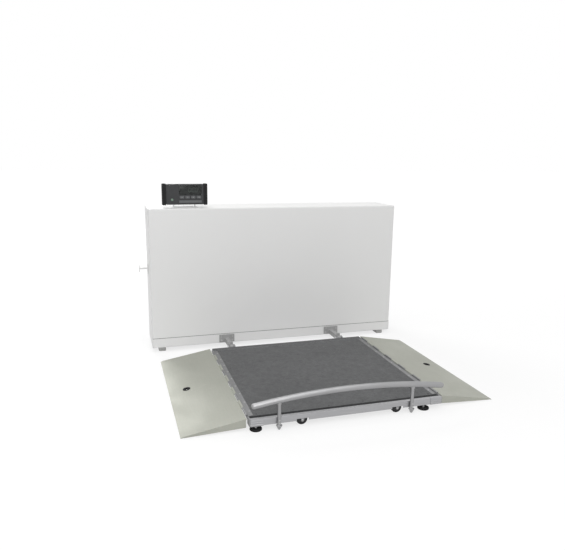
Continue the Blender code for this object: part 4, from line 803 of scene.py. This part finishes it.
def bracket_welds():
    """A bead where each arm, which lies evenly about its pin's height, meets its flange."""
    shape = bmesh.new()
    for side in ("left", "right"):
        low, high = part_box("hinge_bracket_" + side)
        bottom = low.z + WELD_RADIUS
        top = 2 * middle("hinge_pin_" + side).z - low.z
        root = ((low.x + high.x) / 2, high.y - FLANGE_THICKNESS, (bottom + top) / 2)
        weld_ring(shape, facing(root, FRONTWARD), ARM_WIDTH, top - bottom)
    add_piece(shape, "bracket_welds", "grey_coat", "cabinet")


def inlet_details():
    """Blades and screws of the mains socket."""
    low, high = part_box("power_inlet")
    centre = (low + high) / 2
    shape = bmesh.new()
    for y, z in BLADE_PLACES:
        place = facing((high.x - BLADE_SET_BACK, centre.y + y, centre.z + z), RIGHTWARD)
        slab(shape, place, (BLADE_WIDTH, BLADE_HEIGHT), BLADE_WIDTH / 3, -BLADE_LENGTH, 0.0, BLADE_WIDTH / 4)
    add_piece(shape, "inlet_pins", "steel", "cabinet")
    rise = (high.z - low.z) * INLET_SCREW_SHARE
    spots = [(high.x, centre.y, centre.z + side * rise) for side in (-1, 1)]
    fasteners("inlet_screws", "dark_steel", "cabinet", spots, RIGHTWARD, INLET_SCREW)


def cabinet():
    cabinet_shell()
    seam_shade_strip()
    dress("cabinet_back_panel", "base_tray", "base_rail_front", "base_rail_back", "cover_frame",
          "hinge_bracket_left", "hinge_bracket_right", "power_supply")
    dress("readout_bracket", material="white_coat")
    dress("hinge_pin_left", "hinge_pin_right", "tilt_rod", width=FINE_ROUND)
    dress("cord_cleat", material="white_coat", width=CLEAT_ROUND, steps=CLEAT_ROUND_STEPS)
    dress("power_inlet", width=FINE_ROUND)
    for node in ("cabinet_foot_left", "cabinet_foot_right"):
        cabinet_foot(node)
    back_panel_screws()
    bracket_bolts()
    bracket_welds()
    inlet_details()


# Readout


def end_cap(node):
    """Rubber bumper with shallow grooves across its faces."""
    low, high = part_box(node)
    centre, size = (low + high) / 2, high - low
    rings = []
    for station, depth in grooves(low.x, high.x, CAP_GROOVES, CAP_EDGE, CAP_GROOVE_DEPTH):
        outline = rounded(size.y - 2 * depth, size.z - 2 * depth, CAP_EDGE)
        rings.append([(station, centre.y + y, centre.z + z) for y, z in outline])
    stand_in(new_shape(loft, rings), node, "_grooved", "rubber")


def face_plate(node, suffix, material, corner, edge):
    """A plate with a rounded rim that stands for a flat part of the readout's face."""
    place, size = front_of(node)
    shape = new_shape(slab, place, (size.x, size.z), corner, -size.y, 0.0, edge)
    stand_in(shape, node, suffix, material)


def nought(shape, place, left):
    """The bars of one nought, leaning a little."""
    for bar_ends in NOUGHT_BARS:
        ends = []
        for x, y in bar_ends:
            height = (y - 0.5) * FIGURE_HEIGHT
            ends.append(Vector((left + x * FIGURE_WIDTH + height * FIGURE_LEAN, height)))
        gap = (ends[1] - ends[0]).normalized() * FIGURE_STROKE * FIGURE_GAP_SHARE
        bar(shape, place, ends[0] + gap, ends[1] - gap, FIGURE_STROKE, FIGURE_THICKNESS)


def display():
    """Noughts and a point on the display module, behind the window, after the blank figures."""
    centre = middle("display_window")
    place = facing((centre.x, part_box("display_module")[0].y, centre.z), FRONTWARD)
    shape = bmesh.new()
    start = -FIGURE_PITCH * FIGURE_COUNT / 2
    for k in range(BLANK_COUNT, FIGURE_COUNT):
        nought(shape, place, start + k * FIGURE_PITCH)
    point = start + (FIGURE_COUNT - 1) * FIGURE_PITCH - (FIGURE_PITCH - FIGURE_WIDTH) / 2
    spot = place @ Matrix.Translation((point, -FIGURE_HEIGHT / 2, 0.0))
    lathe(shape, spot, [(POINT_RADIUS, 0.0), (POINT_RADIUS, FIGURE_THICKNESS)], POINT_SIDES)
    add_piece(shape, "display_figures", "lcd_ink", "readout")


def key_cap(node):
    """A key cap with a flange behind the bezel."""
    place, size = front_of(node)
    cap = (size.x - 2 * KEY_FLANGE, size.z - 2 * KEY_FLANGE)
    shape = new_shape(slab, place, cap, KEY_CORNER, -size.y, 0.0, KEY_EDGE)
    slab(shape, place, (size.x, size.z), KEY_CORNER, -size.y, -size.y + KEY_FLANGE_DEPTH, KEY_EDGE / 2)
    stand_in(shape, node, "_cap", "grey_plastic")


def power_cap(node):
    """A round key cap with a flange behind the bezel."""
    place, size = front_of(node)
    flange = size.x / 2
    radius = flange - KEY_FLANGE
    step = -size.y + KEY_FLANGE_DEPTH / 2
    profile = [(flange, -size.y), (flange, step), (radius, step)]
    profile += [(radius - inset * POWER_EDGE, (rise - 1) * POWER_EDGE) for inset, rise in EDGE_SHARES]
    stand_in(new_shape(lathe, place, profile), node, "_cap", "green_key")


def oval_ring(shape, place):
    """The upright oval of the zero key's sign."""
    rings = []
    for radius, levels in ((SIGN_REACH, (0.0, SIGN_PROUD)), (SIGN_REACH - SIGN_STROKE, (SIGN_PROUD, 0.0))):
        outline = [(x * OVAL_WIDTH_SHARE, y) for x, y in circle(radius, SIGN_SIDES)]
        rings += [raised(outline, level) for level in levels]
    loft(shape, rings, place, True)


def open_ring(shape, place):
    """The ring with a gap of the power key's sign."""
    outer = SIGN_REACH * RING_SHARE
    inner = outer - SIGN_STROKE
    rings = []
    for k in range(RING_STEPS + 1):
        turn = math.radians(RING_START + RING_SWEEP * k / RING_STEPS)
        c, s = math.cos(turn), math.sin(turn)
        rings.append([(inner * c, inner * s, 0.0), (outer * c, outer * s, 0.0),
                      (outer * c, outer * s, SIGN_PROUD), (inner * c, inner * s, SIGN_PROUD)])
    loft(shape, rings, place)


def key_sign(node):
    """Arrows for the unit, an oval for zero, bars to hold, a triangle to recall, and the power sign."""
    place = front_of(node)[0]
    shape = bmesh.new()
    if node == "zero_key":
        oval_ring(shape, place)
    if node == "power_key":
        open_ring(shape, place)
    width = SIGN_STROKE * (HOLD_STROKE_SHARE if node == "hold_key" else 1.0)
    for start, end in SIGN_STROKES[node]:
        bar(shape, place, Vector(start) * SIGN_REACH, Vector(end) * SIGN_REACH, width, SIGN_PROUD)
    add_piece(shape, node + "_sign", "sign_ink", body_of[node])


def keys():
    for node in SIGN_STROKES:
        if node == "power_key":
            power_cap(node)
        else:
            key_cap(node)
        key_sign(node)


def readout_back():
    """Vent louvres and screws on the readout's back, as far in from its caps' back as its bezel is."""
    cap_low, cap_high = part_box("readout_end_cap_left")
    low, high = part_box("readout_front_bezel")
    back = cap_high.y - (low.y - cap_low.y)
    size = (VENT_LENGTH, VENT_HEIGHT)
    shape = bmesh.new()
    for k in range(VENT_COUNT):
        z = (low.z + high.z) / 2 + VENT_PITCH * (k - (VENT_COUNT - 1) / 2) + VENT_PITCH
        place = facing(((low.x + high.x) / 2, back, z), BACKWARD)
        slab(shape, place, size, VENT_HEIGHT / 3, -VENT_PROUD, VENT_PROUD, VENT_PROUD / 2)
    add_piece(shape, "readout_vent_louvres", "dark_plastic", "readout")
    spots = [(x, back, z) for x in (low.x + READOUT_SCREW_INSET, high.x - READOUT_SCREW_INSET)
             for z in (low.z + READOUT_SCREW_INSET, high.z - READOUT_SCREW_INSET)]
    fasteners("readout_back_screws", "dark_steel", "readout", spots, BACKWARD, READOUT_SCREW)


def readout():
    for node in ("readout_end_cap_left", "readout_end_cap_right"):
        end_cap(node)
    dress("readout_back_shell", width=READOUT_ROUND)
    dress("readout_front_bezel", width=FINE_ROUND)
    dress("display_module", material="lcd", width=FINE_ROUND)
    dress("circuit_board", width=FINE_ROUND / 2)
    face_plate("display_window", "_lens", "smoked_glass", WINDOW_CORNER, WINDOW_EDGE)
    display()
    keys()
    face_plate("label_strip", "_plate", "grey_plastic", LABEL_CORNER, LABEL_EDGE)
    readout_back()


# Platform


def grip_strip(node, front_margin, material):
    """Anti-slip strip along a beam's top."""
    low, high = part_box(node)
    near_low, near_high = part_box("near_beam")
    front = low.y + front_margin
    back = low.y + near_high.y - near_low.y - STRIP_MARGIN
    place = facing(((low.x + high.x) / 2, (front + back) / 2, near_high.z), UPWARD)
    size = (high.x - low.x - 2 * STRIP_MARGIN, back - front)
    shape = new_shape(slab, place, size, STRIP_CORNER, 0.0, STRIP_THICKNESS, STRIP_THICKNESS / 2)
    add_piece(shape, node + "_grip_strip", material, "platform")


def beam_guard(name, start, end):
    """Ridged cover round the near beam's front, between two places along it."""
    low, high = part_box("near_beam")
    back, front = low.y + GUARD_WRAP, low.y - GUARD_WALL
    outline = [(back, high.z + GUARD_WALL), (front, high.z + GUARD_WALL)]
    pitch = (high.z - low.z) / GUARD_RIDGES
    for k in range(GUARD_RIDGES):
        z, half = high.z - pitch * (k + 0.5), GUARD_RIDGE_HALF
        outline += [(front, z + half), (front - GUARD_RIDGE_PROUD, z + half / 2),
                    (front - GUARD_RIDGE_PROUD, z - half / 2), (front, z - half)]
    outline += [(front, low.z - GUARD_WALL), (back, low.z - GUARD_WALL), (back, low.z + GUARD_SEAT),
                (low.y + GUARD_SEAT, low.z + GUARD_SEAT), (low.y + GUARD_SEAT, high.z - GUARD_SEAT),
                (back, high.z - GUARD_SEAT)]
    shape = new_shape(loft, [[(x, y, z) for y, z in outline] for x in (start, end)])
    soften(add_piece(shape, name, "aluminium", "platform"), FINE_ROUND)


def deck_screws():
    low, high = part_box("deck_plate")
    places = border(low.x, high.x, low.y, high.y, DECK_SCREW_INSET, DECK_SCREW_COLUMNS, DECK_SCREW_ROWS)
    spots = [(x, y, high.z) for x, y in places]
    fasteners("deck_screws", "dark_steel", "platform", spots, UPWARD, DECK_SCREW)


def hinge_rivets(node, side):
    """Rivets along the hinge leaf on the side beam's top."""
    low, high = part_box(node)
    deck_low, deck_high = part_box("deck_plate")
    edge = deck_low.x if side < 0 else deck_high.x
    profile = [(RIVET_RADIUS * (1 - inset * RIVET_CROWN_SHARE), rise * RIVET_HEIGHT)
               for inset, rise in EDGE_SHARES]
    shape = bmesh.new()
    for k in range(RIVET_COUNT):
        y = low.y + RIVET_END + (high.y - low.y - 2 * RIVET_END) * k / (RIVET_COUNT - 1)
        lathe(shape, facing((edge + side * LEAF_MIDDLE, y, deck_high.z), UPWARD), profile, RIVET_SIDES)
    add_piece(shape, node + "_rivets", "steel", "platform")


def rail_stations(reach):
    """Radii and places along the rail from end to end, with a dome at both ends."""
    dome = []
    for k in range(1, RAIL_DOME_STEPS):
        turn = math.pi / 2 * k / RAIL_DOME_STEPS
        dome.append((RAIL_RADIUS * math.sin(turn), -reach + RAIL_RADIUS * (1 - math.cos(turn))))
    start, length = -reach + RAIL_RADIUS, 2 * reach - 2 * RAIL_RADIUS
    tube = [(RAIL_RADIUS, start + length * k / RAIL_STEPS) for k in range(RAIL_STEPS + 1)]
    return dome + tube + [(size, -along) for size, along in reversed(dome)]


def grab_rail():
    """A tube along an arc that rises to the rail's middle."""
    low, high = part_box("grab_rail")
    half = (high.x - low.x) / 2
    arc_radius = (half * half + RAIL_RISE * RAIL_RISE) / (2 * RAIL_RISE)
    centre = (low + high) / 2
    rings = []
    for size, along in rail_stations(math.asin(half / arc_radius) * arc_radius):
        angle = along / arc_radius
        fall = arc_radius * (1 - math.cos(angle))
        spot = Vector((centre.x + arc_radius * math.sin(angle), centre.y, high.z - RAIL_RADIUS - fall))
        out = Vector((math.sin(angle), 0.0, math.cos(angle)))
        rings.append([spot + Vector((0, u, 0)) + out * v for u, v in circle(size, RAIL_SIDES)])
    stand_in(new_shape(loft, rings), "grab_rail", "_tube", "rail_steel")


def rail_post(node):
    """Post with a tapered foot and a collar under the rail."""
    low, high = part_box(node)
    centre = (low + high) / 2
    foot = (high.x - low.x) / 2
    collar = high.z - COLLAR_HEIGHT
    profile = [(POST_TIP_RADIUS, low.z), (foot, POST_FOOT_TOP),
               (POST_RADIUS, POST_FOOT_TOP + POST_FOOT_SHOULDER), (POST_RADIUS, collar - FINE_ROUND),
               (COLLAR_RADIUS, collar), (COLLAR_RADIUS, high.z + RAIL_RADIUS / 2)]
    shape = new_shape(lathe, facing((centre.x, centre.y, 0.0), UPWARD), profile)
    soften(stand_in(shape, node, "_turned", "rail_steel"), FINE_ROUND)


def post_bolts():
    spots = []
    for node in ("rail_post_left", "rail_post_right"):
        centre = middle(node)
        spots += [(centre.x, centre.y - POST_RADIUS + POST_BOLT_SINK, rise) for rise in POST_BOLT_RISES]
    fasteners("rail_post_bolts", "steel", "platform", spots, FRONTWARD, POST_BOLT)


def tyre_profile(radius):
    """Tread with grooves round it, from one side of the tyre to the other."""
    half = TYRE_WIDTH / 2
    floor_half = TREAD_HALF * TREAD_FLOOR_SHARE
    profile = [(RIM_RADIUS, -half)]
    profile += [(radius - TYRE_ROUND * (1 - r), -half + TYRE_ROUND * i) for i, r in EDGE_SHARES]
    for share in TREAD_SHARES:
        y = share * TYRE_WIDTH
        profile += [(radius, y - TREAD_HALF), (radius - TREAD_DEPTH, y - floor_half),
                    (radius - TREAD_DEPTH, y + floor_half), (radius, y + TREAD_HALF)]
    profile += [(radius - TYRE_ROUND * (1 - r), half - TYRE_ROUND * i) for i, r in reversed(EDGE_SHARES)]
    return profile + [(RIM_RADIUS, half)]


def hub_rings(half):
    """Rings over both faces of a dished hub whose dish is filled along its spokes."""
    face = []
    for share, fill in HUB_RINGS:
        ring = []
        for turn in turns(HUB_SIDES):
            spoke = SPOKE_STEEPNESS * math.cos(SPOKE_COUNT * turn) - SPOKE_THINNING
            filled = max(fill, SPOKE_FILL * max(0.0, min(1.0, spoke)))
            level = half if share < BOSS_SHARE else TYRE_WIDTH / 2 - RIM_DISH * (1 - filled)
            ring.append((RIM_RADIUS * share * math.cos(turn), RIM_RADIUS * share * math.sin(turn), level))
        face.append(ring)
    return face + [[(x, y, -z) for x, y, z in ring] for ring in reversed(face)]


def wheel(node):
    """Tyre, and a hub with a spoke pattern so that its turning shows."""
    low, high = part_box(node)
    place = facing((low + high) / 2, FRONTWARD)
    tyre = new_shape(lathe, place, tyre_profile((high.z - low.z) / 2), TYRE_SIDES, True)
    stand_in(tyre, node, "_tyre", "rubber")
    hub = new_shape(loft, hub_rings((high.y - low.y) / 2), place)
    add_piece(hub, node + "_hub", "dark_plastic", body_of[node])


def axle(node):
    low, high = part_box(node)
    radius, half = (high.z - low.z) / 2, (high.y - low.y) / 2
    profile = [(radius - AXLE_CHAMFER, -half), (radius, -half + AXLE_CHAMFER),
               (radius, half - AXLE_CHAMFER), (radius - AXLE_CHAMFER, half)]
    shape = new_shape(lathe, facing((low + high) / 2, FRONTWARD), profile, ROD_SIDES)
    stand_in(shape, node, "_turned", "steel")


def pad_profile(radius):
    """A rubber pad with ridges round it."""
    ridge_end, floor_start, floor_end = FOOT_RIDGE_SHARES
    groove = radius - FOOT_RIDGE_DEPTH
    profile = [(radius - FOOT_EDGE, 0.0), (radius, FOOT_EDGE)]
    pitch = (FOOT_THICKNESS - 2 * FOOT_EDGE) / FOOT_RIDGES
    for k in range(FOOT_RIDGES):
        rise = FOOT_EDGE + pitch * k
        profile += [(radius, rise + pitch * ridge_end), (groove, rise + pitch * floor_start),
                    (groove, rise + pitch * floor_end), (radius, rise + pitch)]
    return profile + [(radius - FOOT_EDGE, FOOT_THICKNESS), (STEM_RADIUS, FOOT_THICKNESS)]


def stem_profile(top):
    """The thread of a foot's stem, up to a height."""
    profile = [(STEM_RADIUS, FOOT_THICKNESS / 2), (STEM_RADIUS, FOOT_THICKNESS + FINE_ROUND)]
    rise = FOOT_THICKNESS + STEM_PITCH
    while rise < top - STEM_PITCH:
        profile += [(STEM_RADIUS, rise), (STEM_RADIUS - STEM_THREAD, rise + STEM_PITCH / 2)]
        rise += STEM_PITCH
    return profile + [(STEM_RADIUS - STEM_THREAD, top)]


def cell_foot(node):
    """Rubber foot on a threaded stem."""
    low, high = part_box(node)
    centre = (low + high) / 2
    place = facing((centre.x, centre.y, low.z), UPWARD)
    stand_in(new_shape(lathe, place, pad_profile((high.x - low.x) / 2)), node, "_pad", "rubber")
    stem = new_shape(lathe, place, stem_profile(high.z - low.z), ROD_SIDES)
    add_piece(stem, node + "_stem", "steel", "platform")


def junction_screws():
    low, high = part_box("junction_box")
    spots = [(x, y, low.z) for x, y in border(low.x, high.x, low.y, high.y, READOUT_SCREW_INSET, 2, 2)]
    fasteners("junction_box_screws", "steel", "platform", spots, DOWNWARD, JUNCTION_SCREW)


def platform():
    dress("near_beam", "far_beam", "deck_ribs", "load_cell_near_left", "load_cell_near_right",
          "load_cell_far_left", "load_cell_far_right", "junction_box", "deck_plate")
    # These side parts take the darker aluminium copy, which has painted shade in its colour.
    dress("beam_end_cap_left", "beam_end_cap_right", "wheel_fork_left", "wheel_fork_right",
          "side_beam_left", "side_beam_right", material="side_aluminium", width=FINE_ROUND)
    # The near strip's black rubber, darker than the deck, is painted shade for the dark gap between deck and
    # beam.
    grip_strip("near_beam", STRIP_FRONT_MARGIN, "rubber")
    grip_strip("far_beam", STRIP_MARGIN, "dark_deck")
    low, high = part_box("near_beam")
    beam_guard("beam_guard_left", low.x, low.x + GUARD_LENGTH)
    beam_guard("beam_guard_right", high.x - GUARD_LENGTH, high.x)
    hinge_rivets("side_beam_left", -1)
    hinge_rivets("side_beam_right", 1)
    deck_screws()
    grab_rail()
    for node in ("rail_post_left", "rail_post_right"):
        rail_post(node)
    post_bolts()
    for side in ("left", "right"):
        wheel("wheel_" + side)
        axle("wheel_axle_" + side)
        for row in ("near", "far"):
            cell_foot("foot_" + row + "_" + side)
    junction_screws()


# Ramps


def grommet(node, side):
    """Rubber ring through the ramp, square to its slope."""
    slope = math.radians(RAMP_SLOPE)
    normal = Vector((side * math.sin(slope), 0.0, math.cos(slope)))
    under = RAMP_THICKNESS / 2 + FINE_ROUND
    lip = under + GROMMET_LIP_HEIGHT
    profile = []
    for sign in (1, -1):
        outer = [(GROMMET_LIP - inset * GROMMET_LIP_HEIGHT, sign * (under + rise * GROMMET_LIP_HEIGHT))
                 for inset, rise in EDGE_SHARES]
        inner = [(GROMMET_BORE + FINE_ROUND, sign * lip), (GROMMET_BORE, sign * (lip - FINE_ROUND))]
        half = [(GROMMET_NECK, sign * under)] + outer + inner
        profile += half if sign > 0 else list(reversed(half))
    shape = new_shape(lathe, facing(middle(node), normal), profile, LATHE_SIDES, True)
    stand_in(shape, node, "_ring", "rubber")


def ramps():
    dress("left_ramp", "right_ramp")
    grommet("left_finger_grommet", -1)
    grommet("right_finger_grommet", 1)


# Stage


def seen_share(tree):
    """One for camera, glossy and transmission rays, and zero for the others."""
    path = tree.nodes.new("ShaderNodeLightPath").outputs
    seen = path["Is Camera Ray"]
    for name in ("Is Glossy Ray", "Is Transmission Ray"):
        seen = add_node(tree, "ShaderNodeMath", "Value", {0: seen, 1: path[name]}, operation="MAXIMUM")
    return seen


def floor_glow(tree):
    """The floor's own light rises away from the object, where the lamps reach less."""
    place = add_node(tree, "ShaderNodeNewGeometry", "Position", {})
    away = add_node(tree, "ShaderNodeVectorMath", "Value", {0: place}, operation="LENGTH")
    return spread(tree, away, FLOOR_GLOW_NEAR, FLOOR_GLOW_FAR, FLOOR_NEAR, FLOOR_FAR)


def diffuse(tree, level):
    return add_node(tree, "ShaderNodeBsdfDiffuse", "BSDF", {"Color": (level, level, level, 1.0)})


def floor_material():
    """White where it is seen, but for the shadow, and plain pale where it lights the object."""
    material = bpy.data.materials.new("pale_floor")
    material.use_nodes = True
    tree = material.node_tree
    tree.nodes.remove(tree.nodes["Principled BSDF"])
    glow = add_node(tree, "ShaderNodeEmission", "Emission", {"Strength": floor_glow(tree)})
    seen = add_node(tree, "ShaderNodeAddShader", "Shader", {0: diffuse(tree, FLOOR_SEEN), 1: glow})
    inputs = {0: seen_share(tree), 1: diffuse(tree, FLOOR_BOUNCE), 2: seen}
    mix = add_node(tree, "ShaderNodeMixShader", "Shader", inputs)
    tree.links.new(mix, tree.nodes["Material Output"].inputs["Surface"])
    return material


def floor():
    mesh = bpy.data.meshes.new("floor")
    corners = [(x * FLOOR_HALF, y * FLOOR_HALF, 0.0) for x, y in ((-1, -1), (1, -1), (1, 1), (-1, 1))]
    mesh.from_pydata(corners, [], [(0, 1, 2, 3)])
    mesh.materials.append(floor_material())
    plane = bpy.data.objects.new("floor", mesh)
    bpy.context.scene.collection.objects.link(plane)


def sky():
    """White where it is seen, and plainer where it lights the object."""
    world = bpy.data.worlds.new("studio")
    bpy.context.scene.world = world
    world.use_nodes = True
    tree = world.node_tree
    background = tree.nodes["Background"]
    background.inputs["Color"].default_value = (1.0, 1.0, 1.0, 1.0)
    level = spread(tree, seen_share(tree), SKY_LEVEL, 1.0, 0.0, 1.0)
    tree.links.new(level, background.inputs["Strength"])


def lamps():
    for name, place, target, size, power in LAMPS:
        lamp = bpy.data.lights.new(name, "AREA")
        lamp.shape = "SQUARE"
        lamp.size = size
        lamp.energy = power
        holder = bpy.data.objects.new(name, lamp)
        holder.location = place
        holder.rotation_euler = (Vector(target) - Vector(place)).to_track_quat("-Z", "Y").to_euler()
        holder.visible_camera = False
        bpy.context.scene.collection.objects.link(holder)


def camera():
    yaw, pitch, roll = (math.radians(a) for a in (CAMERA_YAW, CAMERA_PITCH, CAMERA_ROLL))
    lens = bpy.data.cameras.new("photo_camera")
    lens.sensor_width = SENSOR_WIDTH
    lens.sensor_fit = "HORIZONTAL"
    lens.lens = FOCAL_PIXELS * SENSOR_WIDTH / FRAME_PIXELS
    holder = bpy.data.objects.new("photo_camera", lens)
    turn = Matrix.Rotation(-yaw, 4, "Z") @ Matrix.Rotation(math.pi / 2 - pitch, 4, "X")
    holder.matrix_world = Matrix.Translation(CAMERA_PLACE) @ turn @ Matrix.Rotation(roll, 4, "Z")
    bpy.context.scene.collection.objects.link(holder)
    bpy.context.scene.camera = holder


camera()
cabinet()
readout()
platform()
ramps()
floor()
sky()
lamps()
bpy.context.scene.view_settings.view_transform = "Standard"
